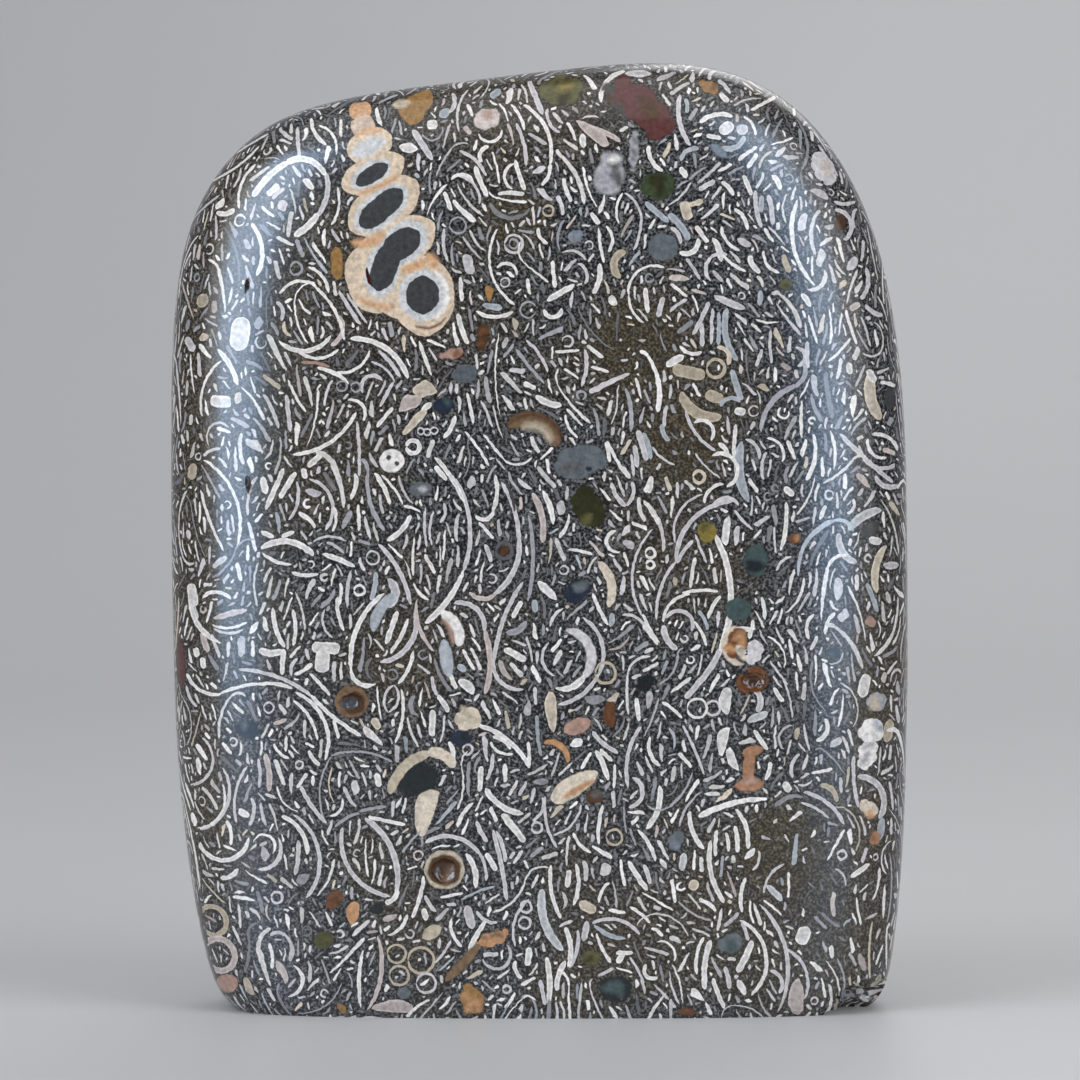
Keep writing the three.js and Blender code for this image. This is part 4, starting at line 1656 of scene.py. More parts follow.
        (15, 50.2, 15.2, 48.4, 15.5, 46.6, 0.35), (19, 49.6, 20.8, 48.4, 22.2, 47, 0.25),
        (36.6, 51.8, 37.2, 50.6, 38, 49.6, 0.35), (-38.6, 49.8, -36.2, 47.4, -34.8, 43.6, 0.25),
        (-32.3, 46.8, -31.8, 45.4, -31.4, 43.8, 0.25), (-16.8, 46.3, 2.1, 0.5, 88),
        (-7.4, 44.2, -5.8, 43.6, -4.6, 42.2, 0.3), (33.4, 45.2, 34.6, 43.4, 35.6, 42, 0.35),
        (44.6, 46.8, 44.8, 44.6, 43.2, 43.4, 0.35), (-41.6, 43, -40.6, 41.4, -39.2, 40.7, 0.25),
        (-36.2, 42, -35.4, 40.6, -34.4, 39.6, 0.3), (-14.2, 43.4, -13.6, 42, -13.6, 40.6, 0.35),
        (-9.3, 37.6, 2, 0.4, 86), (-7.7, 43.4, -6.6, 41.9, -4.2, 41.5, 0.22),
        (-1.8, 43.4, -1.7, 41.4, -1.6, 39.4, 0.28), (8.6, 42, 9.8, 40, 10.6, 37.4, 0.4),
        (9.4, 42.2, 10.4, 41.2, 11.2, 40.4, 0.3), (11.6, 38, 1.9, 0.25, 88),
        (17.2, 44.2, 17.2, 41.6, 18.8, 39.6, 0.3), (21.6, 41.6, 22.6, 40.6, 23.6, 39.4, 0.3),
        (35.9, 40.2, 35.8, 38.6, 35.2, 37.4, 0.35), (42.4, 38.4, 44.2, 38.6, 45.8, 39, 0.25),
        (-36.4, 38.4, -37.2, 37.2, -38, 36, 0.28), (-8.5, 36.2, -6.4, 33.6, -2.6, 32.2, 0.45),
        (18.6, 36.6, 18.4, 32.8, 16.6, 29.8, 0.42), (-49.8, 36.4, -50.6, 31, -54, 29.2, 0.2),
        (-5.9, 32.2, -4, 29.8, -2.4, 27.8, 0.55), (9.8, 33.6, 9.2, 30.6, 9.2, 27.4, 0.3),
        (27.6, 29.6, 27.4, 27.4, 27.4, 25.4, 0.28), (29, 29.2, 29.4, 27.6, 29.4, 26.2, 0.28),
        (30.4, 30.2, 30.8, 28, 30.8, 26, 0.35), (-11.6, 25.9, -10.4, 24, -10.1, 20.6, 0.4),
        (-8.4, 26, -7.6, 24.6, -6.8, 23.2, 0.4), (5.2, 29.2, 6.4, 27.2, 8, 26, 0.25),
        (15.2, 29.6, 17, 27.4, 18, 24.6, 0.3), (47.7, 29.4, 46.2, 26.8, 45, 24.6, 0.22),
        (-50.2, 21.6, -48.8, 21.8, -47.4, 23.2, 0.35), (-22.4, 20.6, -22.6, 19.2, -24.2, 18.2, 0.4),
        (-15.6, 19, -13.8, 19.4, -12, 19.6, 0.22), (4.6, 23.4, 4.4, 22, 4.3, 20.6, 0.45),
        (5.6, 24.4, 6, 21, 5.2, 17.8, 0.3), (10.8, 21.4, 9.6, 20, 9.2, 18.2, 0.25),
        (13.8, 24.8, 15.2, 22.4, 16.8, 20.2, 0.42), (32.2, 22.2, 31.4, 19.6, 31.6, 16.6, 0.3),
        (-13.8, 15.8, -13.4, 12.8, -12.2, 11.4, 0.28), (-8.5, 15.4, -10, 13, -11.2, 10.6, 0.38),
        (14, 17.6, 15.6, 16.6, 17.2, 15, 0.25), (49.6, 18.6, 50, 16.2, 50.4, 14.2, 0.18),
        (-3.8, 9.2, -3.6, 7.2, -2.8, 6.4, 0.3), (-1.8, 9.8, 1.5, 0.5, 85),
        (3.9, 14.4, 4.8, 11.2, 4.4, 8.2, 0.4), (13.2, 10.4, 1.3, 0.35, 2),
        (33.2, 12.2, 32.2, 9.8, 30.8, 7.2, 0.55), (1, 9.8, 1.5, 6, 1.3, 2.4, 0.45),
        (4, 9.2, 2.9, 6.8, 2.6, 4.4, 0.4), (16.6, 8.6, 16.8, 6.6, 18.4, 6.6, 0.3),
        (27, 6.4, 27.8, 4, 28.9, 1.6, 0.35),
    ),
    *bits(
        Tint.WHITE, 12,
        (-2.6, 142.9, 1.4, 138, 1.5, 133.4, 0.3), (25, 140, 26.2, 140.9, 30.2, 141, 0.35),
        (32, 141.1, 33.2, 140, 33.8, 138.1, 0.22), (-39.8, 133.8, -36.2, 134.2, -33.6, 131.8, 0.5),
        (34, 136.3, 32.9, 135.6, 31, 134.1, 0.3), (-44.6, 133.6, -47, 130.2, -47.1, 126.6, 0.22),
        (-45, 128.4, -43, 131.2, -39.5, 133.9, 0.5), (-31.7, 130, -31.5, 126.4, -32.6, 123.9, 0.2),
        (24.3, 123.8, 25.2, 122.6, 26.2, 121.2, 0.35), (30.3, 126.5, 31.6, 125.4, 32.4, 123.2, 0.3),
        (-45.2, 124.3, -44.1, 122.6, -44.3, 116, 0.35), (-6.6, 123.4, -7.9, 118.4, -6.8, 114.6, 0.2),
        (28.3, 123.8, 28.9, 121.8, 31.2, 120, 0.25), (35, 120, 35.6, 117.6, 37.4, 116.6, 0.25),
        (-40.6, 113.2, -38.6, 115, -34.8, 114.2, 0.25), (19.4, 117.3, 14.6, 116, 13.9, 112.8, 0.2),
        (-35.2, 114.3, -32, 110.6, -30.6, 106, 0.25), (47.9, 110.8, 48.8, 107.6, 49.6, 105.4, 0.25),
        (-38.2, 104.8, -35, 103.2, -31.4, 104.6, 0.25), (-29.7, 106.2, -25.6, 105.6, -20.6, 100, 0.42),
        (-50, 102.8, -52.6, 99.2, -53, 94, 0.2), (-31.8, 101.1, -28.9, 101.4, -26.6, 104.4, 0.22),
        (24, 93.1, 26.2, 93.2, 26.6, 90.4, 0.28), (-38.6, 88.2, -33.2, 89.8, -28.7, 94.8, 0.3),
        (35.4, 90.7, 37.2, 90, 37.8, 87, 0.22), (51.4, 90.6, 52.4, 88, 54.4, 87.6, 0.25),
        (52, 91.2, 54.6, 90.8, 56.4, 88.6, 0.3), (25.6, 80.6, 26.4, 82.6, 28.6, 83.6, 0.25),
        (26.9, 88, 29, 88.2, 29.1, 83.2, 0.3), (-53.2, 82.6, -51.8, 77.8, -49.5, 73, 0.22),
        (-52.8, 87.3, -48.2, 82.6, -47.4, 73.8, 0.25), (19.2, 62, 20.4, 65, 23.4, 66.4, 0.25),
        (22.2, 66.6, 25, 67, 27.8, 66.8, 0.25), (27.2, 75.8, 29.6, 68.6, 28, 57.6, 0.48),
        (42.1, 59.3, 41.7, 61.4, 42.8, 63.2, 0.28), (-55.6, 53.6, -53.6, 51.2, -50, 50.6, 0.28),
        (-44.2, 52.2, -41.2, 52.3, -38.8, 51.6, 0.28), (-38.2, 51, -33.6, 46.4, -33.6, 40.4, 0.3),
        (-35.8, 50.6, -32, 47, -27.8, 44.2, 0.32), (-21.6, 51.6, -21.4, 47.6, -22.6, 43.2, 0.25),
        (-9.8, 46, -5, 43.6, -1.6, 39.2, 0.35), (-40.4, 31.6, -37.6, 29.6, -36.4, 25.6, 0.35),
        (-26.8, 31.6, -24, 31, -21, 30.4, 0.28), (23.4, 32.6, 23.8, 29.4, 25.6, 26.6, 0.35),
        (30.5, 32.8, 32.2, 30, 32.4, 26.6, 0.35), (-54, 27.6, -48.6, 24.6, -45.6, 28.2, 0.35),
        (26.7, 28, 26.6, 23.4, 28.8, 18.2, 0.38), (-18.1, 22.4, -18.8, 19, -20, 15.8, 0.3),
        (1.7, 24.2, 1.8, 19.8, 3.3, 15.8, 0.3), (25.6, 12.8, 24.4, 9.6, 24.5, 7, 0.28),
        (26.7, 12.4, 25.7, 8, 25.8, 4.6, 0.45), (31.2, 15.4, 35.4, 9.6, 33, 3.6, 0.3),
    ),
    # Shells cut across.
    *(Loop((x, z), radius, wide, Tint.BEIGE) for x, z, radius, wide in (
        (1.3, 126.2, 0.8, 0.2), (27.4, 101.6, 1.4, 0.28), (10.2, 54.1, 1.6, 0.22), (11.6, 28.5, 1.2, 0.18),
        (-51.6, 14.6, 2.3, 0.42), (-22.4, 10.2, 1.4, 0.2), (-18.6, 9.2, 2, 0.22), (-22, 6.8, 1.5, 0.2),
    )),
    *(Loop((x, z), radius, wide, Tint.CREAM) for x, z, radius, wide in (
        (24.8, 84.7, 0.9, 0.25),
    )),
    *(Loop((x, z), radius, wide, Tint.GREY) for x, z, radius, wide in (
        (-12.8, 123.9, 1.25, 0.15), (-4.1, 121, 0.7, 0.15), (-38.1, 117.2, 0.95, 0.18),
        (-30.9, 98.9, 0.8, 0.15), (-28.7, 98.7, 0.75, 0.15),
    )),
    *(Loop((x, z), radius, wide, Tint.PEARL) for x, z, radius, wide in (
        (-4.1, 121, 1.4, 0.2), (-5.4, 115, 0.7, 0.13), (-16.5, 91.9, 0.5, 0.13), (-18.6, 91.8, 0.5, 0.13),
        (-17.6, 91.7, 0.55, 0.13), (-26.1, 72.1, 1, 0.15), (-42.4, 48.6, 0.8, 0.15), (27, 48.6, 1.1, 0.2),
        (-11.3, 42.2, 0.75, 0.18), (-37.6, 39.7, 0.6, 0.18), (-0.5, 30, 0.8, 0.2), (47.3, 25.4, 0.7, 0.2),
        (-41.2, 18.8, 0.9, 0.2), (-2.2, 17.6, 0.85, 0.2), (-2.4, 15.1, 0.9, 0.2), (-17.8, 5.6, 1.5, 0.2),
        (-5.2, 4.7, 0.6, 0.2),
    )),
    *(Loop((x, z), radius, wide, Tint.PINK) for x, z, radius, wide in (
        (-50.6, 9.2, 2.6, 0.5),
    )),
    *(Loop((x, z), radius, wide, Tint.WHITE) for x, z, radius, wide in (
        (-19.8, 89.4, 1, 0.36), (17.2, 72.8, 0.75, 0.22), (17.2, 71, 0.6, 0.22), (-28.2, 67, 0.8, 0.2),
        (24.5, 48.6, 1.5, 0.2),
    )),
    # Pebbles, and what needs a softer edge or a slant.
    Blob((-20.2, 141.9), 2.2, 1.7, -48, Tint.OCHRE, taper=5, soft=0.25),
    Blob((-19, 143.2), 2.6, 1.7, 34, Tint.OCHRE, taper=6, skew=-0.2, soft=0.25),
    Blob((-21.8, 143.2), 1.5, 0.7, 10, Tint.BEIGE, soft=0.5),
    Loop((-16.9, 138.9), 1.6, 0.14, Tint.GREY, turns=0.5, faces=-70),
    Pebble((-8.3, 140.7), 2, 1.6, 20, Tint.PINK, Tint.ROSE),
    Blob((-7.5, 138.6), 1.5, 0.7, 10, Tint.SHADE, soft=0.3),
    Blob((-31.7, 118), 2.6, 0.9, 92, Tint.OCHRE, taper=4, soft=0.2),
    Pebble((3.4, 145.3), 3.3, 2.3, 4, Tint.OLIVE, Tint.LODEN),
    Blob((3.9, 145.7), 1.4, 0.6, 10, Tint.KHAKI, soft=1.4),
    Pebble((12.4, 143.6), 3.4, 1.4, -48, Tint.SHADE, Tint.UMBER, soft=0.7),
    Pebble((16.4, 142.2), 6, 2.7, -50, Tint.MAROON, Tint.UMBER, 7, soft=0.4),
    Pebble((26.6, 145.8), 1.6, 1, -25, Tint.OCHRE, Tint.UMBER, soft=0.2),
    Pebble((18.4, 130.1), 2.5, 2.1, 20, Tint.MOSS, Tint.LODEN),
    Pebble((10.9, 132), 3.4, 2.2, 80, Tint.GREY, Tint.HAZE, 6, soft=0.6),
    Blob((10.4, 130.6), 1.2, 0.7, 60, Tint.WHITE, soft=0.9),
    Blob((11.4, 134.2), 1, 0.5, 10, Tint.WHITE, soft=0.9),
    Pebble((14.7, 135.6), 3, 0.8, 88, Tint.GREY, Tint.HAZE, soft=0.4),
    Blob((8.2, 138.5), 3.1, 0.9, -35, Tint.PINK, taper=3, skew=0.4),
    Pebble((44.6, 133), 2.6, 1.7, -65, Tint.PEARL, Tint.PINK, soft=0.12),
    Pebble((19.2, 120.5), 2.3, 2, 0, Tint.SLATE, Tint.HAZE, 6),
    Pebble((5.5, 122.2), 1.2, 0.9, 20, Tint.SKY, Tint.DULL, soft=0.2),
    Pebble((38.4, 114.7), 0.9, 0.8, 0, Tint.OLIVE, Tint.LODEN),
    Blob((47.2, 124.4), 1.3, 0.8, 80, Tint.UMBER, soft=0.4),
    Pebble((-8.9, 106.6), 2.1, 0.8, 88, Tint.UMBER, Tint.RUST, soft=0.4),
    Pebble((-13.6, 103.9), 1.9, 0.8, 12, Tint.ROSE, Tint.RUST),
    Blob((28, 135.6), 1.6, 0.7, -40, Tint.SKY, soft=0.3),
    Blob((-20.1, 96.3), 1.7, 1.1, 8, Tint.PINK, taper=8, skew=-0.3),
    Blob((-18.1, 98.3), 1.6, 1.2, 24, Tint.CREAM, taper=9, skew=0.2),
    Blob((-19.6, 93.2), 2.6, 0.6, 48, Tint.CREAM, taper=6, skew=0.2),
    Pebble((-15, 95.9), 1.5, 1.2, 0, Tint.NAVY, Tint.TEAL),
    Blob((55, 96.8), 1.8, 0.8, 90, Tint.FILL, soft=0.2),
    Blob((-23.1, 87.2), 2, 1.8, 0, Tint.WHITE, soft=0.2),
    Blob((-23.6, 87.7), 0.45, 0.4, 0, Tint.SHADE, soft=0.2),
    Blob((-22.3, 86.8), 0.4, 0.35, 0, Tint.SHADE, soft=0.2),
    Pebble((-18.6, 82.8), 1.6, 1.1, 10, Tint.SLATE, Tint.PEARL),
    Strip((-4.8, 92.4), (0, 93.4), (2.4, 89.4), 1.1, Tint.BRONZE, taper=6, soft=0.4),
    Strip((-5, 92.8), (0.4, 94), (3.3, 90.4), 0.35, Tint.UMBER, soft=0.9),
    Strip((-2.8, 92.2), (-0.2, 92.4), (1.6, 90), 0.5, Tint.BEIGE, soft=1.2),
    Pebble((6.2, 87), 3.8, 2.5, 8, Tint.SLATE, Tint.HAZE, 7, soft=0.35),
    Blob((5.2, 87.8), 2.2, 0.9, 30, Tint.SKY, soft=1.6),
    Blob((7.6, 86), 0.5, 0.4, 0, Tint.NAVY, soft=0.4),
    Blob((4.6, 86.2), 0.4, 0.4, 0, Tint.NAVY, soft=0.4),
    Pebble((7.5, 80), 3.2, 2.2, -62, Tint.LODEN, Tint.OLIVE, 6),
    Strip((-11.9, 70.2), (-14.3, 65.6), (-17.9, 61.9), 0.44, Tint.WHITE, taper=8, skew=0.2),
    Strip((-15.6, 63.6), (-13, 61.2), (-12.7, 58.2), 0.9, Tint.WHITE, taper=4, soft=0.2),
    Strip((-15.2, 62.6), (-13.9, 60.6), (-13.6, 58.6), 0.35, Tint.ROSE, soft=0.6),
    Blob((-14.6, 56.4), 3, 1, 98, Tint.BLUISH, taper=3, soft=0.25),
    Loop((-5.6, 73.2), 1.25, 0.3, Tint.HAZE, soft=0.2),
    Blob((-5.6, 73.2), 0.8, 0.7, 40, Tint.UMBER, soft=0.3),
    Strip((4, 60.8), (8, 57.2), (6.5, 53.2), 0.75, Tint.PEARL, taper=4, soft=0.2),
    Strip((6.8, 53.8), (5.2, 52), (2.4, 51.8), 0.5, Tint.WHITE, taper=4, skew=-0.3),
    Strip((9, 71.4), (11.1, 68.2), (10.6, 64.4), 0.7, Tint.CREAM, soft=0.15),
    Pebble((5.8, 66.9), 2, 1.6, 30, Tint.NAVY, Tint.SLATE, 6),
    Blob((-11.3, 52), 1.5, 0.85, -55, Tint.WHITE, skew=-0.4),
    Pebble((-11.2, 46.9), 2.1, 1.7, 20, Tint.CREAM, Tint.BEIGE, soft=0.12),
    Strip((-22.4, 66.4), (-24.8, 64.2), (-26, 60.6), 0.85, Tint.BLUISH, taper=4, soft=0.2),
    Pebble((26, 76.1), 1.5, 1.4, 80, Tint.KHAKI, Tint.OLIVE),
    Pebble((33.7, 71.6), 2.3, 1.8, 85, Tint.TEAL, Tint.INK, 6),
    Pebble((30.9, 64), 2, 1.7, 0, Tint.TEAL, Tint.MOSS, 6),
    Pebble((39.8, 75), 0.9, 0.7, 0, Tint.RUST, Tint.ORANGE),
    Blob((51.8, 76.4), 1.7, 1, 30, Tint.SHADE, soft=0.4),
    Pebble((46, 57.2), 0.9, 0.7, 0, Tint.INK, Tint.SHADE),
    Strip((30.6, 61.4), (28.8, 58.4), (31.8, 55.4), 0.5, Tint.CREAM, soft=0.3),
    Pebble((30.6, 58.8), 2.3, 1.5, 70, Tint.RUST, Tint.ORANGE, 6),
    Blob((30, 59.6), 1.5, 0.6, 60, Tint.OCHRE, soft=0.9),
    Blob((31.6, 57.2), 1.6, 0.7, -50, Tint.CREAM, soft=0.4),
    Pebble((33.4, 57.4), 1.9, 1.3, 70, Tint.PEARL, Tint.CREAM, soft=0.15),
    Pebble((33.2, 52.9), 2.4, 1.9, 20, Tint.RUST, Tint.UMBER, 6),
    Blob((29, 49.6), 2, 1, 100, Tint.WHITE, taper=3, skew=0.4),
    Blob((28.7, 43.9), 1.9, 1, 60, Tint.WHITE, taper=3, skew=-0.7),
    Blob((30.1, 40.4), 1.8, 0.7, 122, Tint.WHITE, taper=3, skew=0.6),
    Blob((-29.4, 49.6), 2.7, 2.5, 0, Tint.BRONZE, soft=0.3),
    Pebble((-29.2, 49.4), 1.9, 1.7, 0, Tint.UMBER, Tint.HAZE, soft=0.4),
    Blob((5.8, 45.8), 2.2, 1.2, 20, Tint.ROSE, taper=3, soft=0.2),
    Blob((1.8, 48), 3.2, 0.9, 97, Tint.CREAM, taper=3, skew=0.3),
    Strip((0.6, 43.2), (3.3, 42.7), (4.3, 40.2), 0.46, Tint.ORANGE, soft=0.2),
    Blob((5.4, 36.5), 4.2, 1.6, 28, Tint.CREAM, taper=3, skew=-0.25, soft=0.2),
    Blob((6, 36), 3, 0.5, 30, Tint.ORANGE, soft=0.6),
    Blob((32.6, 39.2), 3.2, 0.9, 86, Tint.CLAY, taper=4, soft=0.2),
    Blob((33.2, 41.9), 1.7, 0.8, 12, Tint.CLAY, soft=0.2),
    Blob((32.7, 36.6), 2.3, 1, 4, Tint.CLAY, soft=0.3),
    Blob((32.8, 37.2), 1.4, 0.5, 10, Tint.ROSE, soft=0.7),
    Blob((-19.4, 37.6), 3.6, 2.6, 10, Tint.INK, soft=1.6),
    Strip((-23.4, 35.2), (-21, 39.6), (-17.2, 41.6), 0.8, Tint.BEIGE, taper=7, soft=0.15),
    Strip((-17.6, 41.6), (-14.9, 41.2), (-13.4, 39.3), 0.85, Tint.CREAM, taper=6, soft=0.15),
    Blob((-17.6, 33), 3.1, 1.9, 52, Tint.CREAM, taper=3, skew=-0.6, soft=0.15),
    Blob((-14.9, 23.4), 3.2, 3, 0, Tint.BEIGE, taper=3, soft=0.25),
    Pebble((-14.9, 23.3), 2.5, 2.3, 0, Tint.UMBER, Tint.BRONZE, 6, soft=0.4),
    Pebble((-45.8, 45), 1.8, 1.2, 0, Tint.NAVY, Tint.SLATE, soft=0.8),
    Blob((-56.6, 55), 3.6, 0.7, 92, Tint.MAROON, soft=0.4),
    Pebble((8.5, 34.8), 1.2, 1.1, 0, Tint.UMBER, Tint.HAZE),
    Pebble((-12.4, 43.9), 1.6, 1.2, 0, Tint.NAVY, Tint.INK),
    Pebble((-32.2, 18.6), 1.5, 1.1, 40, Tint.RUST, Tint.UMBER),
    Blob((-25.4, 17.2), 1, 0.8, 0, Tint.INK, soft=0.2),
    Blob((-21.2, 4), 1.1, 0.9, 0, Tint.SLATE, soft=0.2),
    Pebble((-7.4, 12.6), 2.7, 1.1, 20, Tint.ORANGE, Tint.BRONZE, soft=0.2),
    Strip((-9.4, 11.8), (-12, 8.8), (-14.8, 6), 0.7, Tint.BRONZE, soft=0.25),
    Pebble((-10.6, 3.2), 2.3, 1.7, -72, Tint.OCHRE, Tint.ORANGE, soft=0.2),
    Blob((-23.2, 1.8), 3.2, 1, 6, Tint.PINK, taper=3, skew=0.5),
    Blob((-16.9, 13.6), 1.7, 1, 30, Tint.BEIGE, soft=0.2),
    Blob((-49.4, 4.6), 2, 1.5, 20, Tint.ROSE, soft=0.2),
    Pebble((52.9, 49.3), 1.6, 1.4, 0, Tint.GREY, Tint.BEIGE, soft=0.2),
    Pebble((51.4, 41.2), 2.6, 1.5, 80, Tint.WHITE, Tint.GREY, soft=0.12),
    Pebble((52, 44.8), 2.1, 1.8, 0, Tint.WHITE, Tint.BLUISH, soft=0.12),
    Pebble((51.6, 32.6), 1.6, 1.1, -40, Tint.CREAM, Tint.APRICOT, soft=0.15),
    Pebble((52.7, 27.8), 1.1, 0.8, 60, Tint.CLAY, Tint.RUST, soft=0.2),
    Pebble((11.8, 4.8), 2.4, 1.9, 0, Tint.INK, Tint.TEAL, 6),
    Pebble((29.8, 11.8), 2, 1.4, 20, Tint.SLATE, Tint.TEAL),
    Blob((23, 1), 1.5, 0.6, 0, Tint.RUST, soft=0.3),
    Blob((40.2, 3.3), 2.9, 1.2, 84, Tint.PINK, taper=3, skew=-0.3),
    Pebble((21.2, 28), 1.5, 1.1, 60, Tint.SLATE, Tint.SKY),
    Pebble((8, 9.6), 1.4, 1.1, 0, Tint.OLIVE, Tint.LODEN),
)


# ---------------------------------------------------------------------------------------------
# The stone
# ---------------------------------------------------------------------------------------------


@dataclass(frozen=True)
class Sheet:
    """One of the six views of the stone, laid side by side in its UV map."""

    facing: Triple
    right: Triple
    up: Triple
    scale: float  # texels for each millimetre
    corner: Pair  # its lower left corner, in texels

    def place(self, corners: np.ndarray) -> np.ndarray:
        """Lays corners of the mesh flat, as shares of the whole map."""
        flat = corners @ np.array([self.right, self.up], float).T
        return ((flat - flat.min(0)) * self.scale + self.corner) / BAKE_WIDTH


BAKE_WIDTH = 1024
SHEETS = (
    Sheet((0, -1, 0), (1, 0, 0), (0, 0, 1), 5.1, (4, 4)),
    Sheet((0, 1, 0), (-1, 0, 0), (0, 0, 1), 3.95, (574, 4)),
    Sheet((0, 0, 1), (1, 0, 0), (0, 1, 0), 3.5, (574, 588)),
    Sheet((0, 0, -1), (1, 0, 0), (0, -1, 0), 3.5, (574, 752)),
    Sheet((1, 0, 0), (0, 0, 1), (0, -1, 0), 2.85, (4, 757)),
    Sheet((-1, 0, 0), (0, 0, 1), (0, 1, 0), 2.85, (4, 890)),
)


@dataclass
class Stone:
    """The whole freeform: the block, the bed of shells in its surface, and its finish."""

    SQUARE_CENTIMETRE = 100  # square millimetres
    BATCH = 40000  # how many shells are tried at a time
    PLACES = 400000  # how many points of the surface they are drawn from
    PAIRS = 100000  # how many pairs of a shell and a face are tested at a time

    block: Block
    seed: int = 7
    kinds: tuple[Kind, ...] = KINDS
    halo: float = 0.12  # how far the dark line round a shell goes

    def build(self, material: bpy.types.Material) -> bpy.types.Object:
        """Makes the stone.

        Args:
            material: The polished rock.

        Returns:
            The stone's object, at the origin.
        """
        mesh = self.block.mesh(material)
        shells = Shells(self.block, self.seed)
        places, area = self._surface(mesh)
        placed = [feature.marks(self.block) for feature in (*TURRET, *PIECES)]
        shells.add(Marks.joined(placed))
        LOG.info("%d shells laid by hand", len(placed))
        for kind in self.kinds:
            count = int(kind.tries * area / self.SQUARE_CENTIMETRE)
            kept = 0
            for start in range(0, count, self.BATCH):
                tried = shells.scattered(kind, min(self.BATCH, count - start), places)
                kept += shells.settle(tried, kind)
            if kind.curl > 0:
                shells.add(shells.curled(shells.parts[-1], kind.curl), kind.steps)
            LOG.info("%s: %d of %d found room", kind.name, kept, count)
        self._carry(mesh, shells.all())
        stone = bpy.data.objects.new("polished_stone", mesh)
        bpy.context.scene.collection.objects.link(stone)
        return stone

    def _surface(self, mesh: bpy.types.Mesh) -> tuple[np.ndarray, float]:
        """Draws random points all over the mesh.

        Args:
            mesh: The block's mesh.

        Returns:
            The points, and the mesh's area in square millimetres.
        """
        triangles = mesh.loop_triangles
        corners = np.empty(len(triangles) * 3, np.int32)
        areas = np.empty(len(triangles), np.float32)
        triangles.foreach_get("vertices", corners)
        triangles.foreach_get("area", areas)
        places = np.empty(len(mesh.vertices) * 3, np.float32)
        mesh.vertices.foreach_get("co", places)
        corners = (places.reshape(-1, 3) / MM)[corners.reshape(-1, 3)].astype(float)
        draw = np.random.default_rng(self.seed)
        chosen = draw.choice(len(areas), self.PLACES, p=areas / areas.sum())
        weights = draw.dirichlet((1, 1, 1), len(chosen))
        return np.einsum("ij,ijk->ik", weights, corners[chosen]), float(areas.sum()) / MM**2

    def _carry(self, mesh: bpy.types.Mesh, marks: Marks) -> None:
        """Writes on each face the shells that cross it.

        Args:
            mesh: The block's mesh.
            marks: The shells.
        """
        starts = np.empty(len(mesh.polygons), np.int32)
        totals = np.empty(len(mesh.polygons), np.int32)
        mesh.polygons.foreach_get("loop_start", starts)
        mesh.polygons.foreach_get("loop_total", totals)
        loops = np.empty(len(mesh.loops), np.int32)
        mesh.loops.foreach_get("vertex_index", loops)
        places = np.empty(len(mesh.vertices) * 3, np.float32)
        mesh.vertices.foreach_get("co", places)
        places = places.reshape(-1, 3).astype(float) / MM
        quads = np.stack([places[loops[starts + (totals * k) // 4]] for k in range(4)], 1)
        mark, face = self._near(marks, quads)
        mark, face = self._crossing(marks, mark, face, quads)
        mark, face, slot = self._ranked(marks, mark, face)
        LOG.info("%d shells, %d crossings", len(np.unique(mark)), len(mark))
        owner = np.repeat(np.arange(len(starts)), totals)
        for number in range(SLOTS):
            here = slot == number
            held = np.full(len(starts), -1)
            held[face[here]] = mark[here]
            self._write(mesh, number, marks, held, held[owner], places[loops])
        self._unwrap(mesh, owner, places[loops])

    @staticmethod
    def _unwrap(mesh: bpy.types.Mesh, owner: np.ndarray, corners: np.ndarray) -> None:
        """Lays each face in the sheet that it looks towards most.

        Args:
            mesh: The block's mesh.
            owner: The face of each corner.
            corners: Where each corner is, in millimetres.
        """
        normals = np.empty(len(mesh.polygons) * 3, np.float32)
        mesh.polygons.foreach_get("normal", normals)
        facings = np.array([sheet.facing for sheet in SHEETS])
        chosen = (normals.reshape(-1, 3) @ facings.T).argmax(1)[owner]
        flat = np.empty((len(corners), 2), np.float32)
        for number, sheet in enumerate(SHEETS):
            flat[chosen == number] = sheet.place(corners[chosen == number])
        mesh.uv_layers.new(name="OFBake").data.foreach_set("uv", flat.ravel())

    @staticmethod
    def _near(marks: Marks, quads: np.ndarray) -> tuple[np.ndarray, np.ndarray]:
        """Pairs each shell with the faces that could touch it.

        Args:
            marks: The shells.
            quads: The four corners of each face, in millimetres.

        Returns:
            The shell of each pair, and its face.
        """
        face_size = 1.1  # with room for the dark line
        middles = quads.mean(1)
        finder = KDTree(len(middles))
        for number, middle in enumerate(middles):
            finder.insert(middle, number)
        finder.balance()
        chord = marks.bend * np.sin(np.minimum(marks.reach / marks.bend, pi / 2))
        circle = marks.reach > marks.bend * pi / 2
        radius = np.where(circle, marks.bend * 2, np.maximum(chord, marks.thick)) + marks.thick + face_size
        mark, face = [], []
        for number, (centre, size) in enumerate(zip(marks.centre, radius)):
            found = [index for _, index, _ in finder.find_range(Vector(centre), size)]
            face.extend(found)
            mark.extend([number] * len(found))
        return np.array(mark), np.array(face)

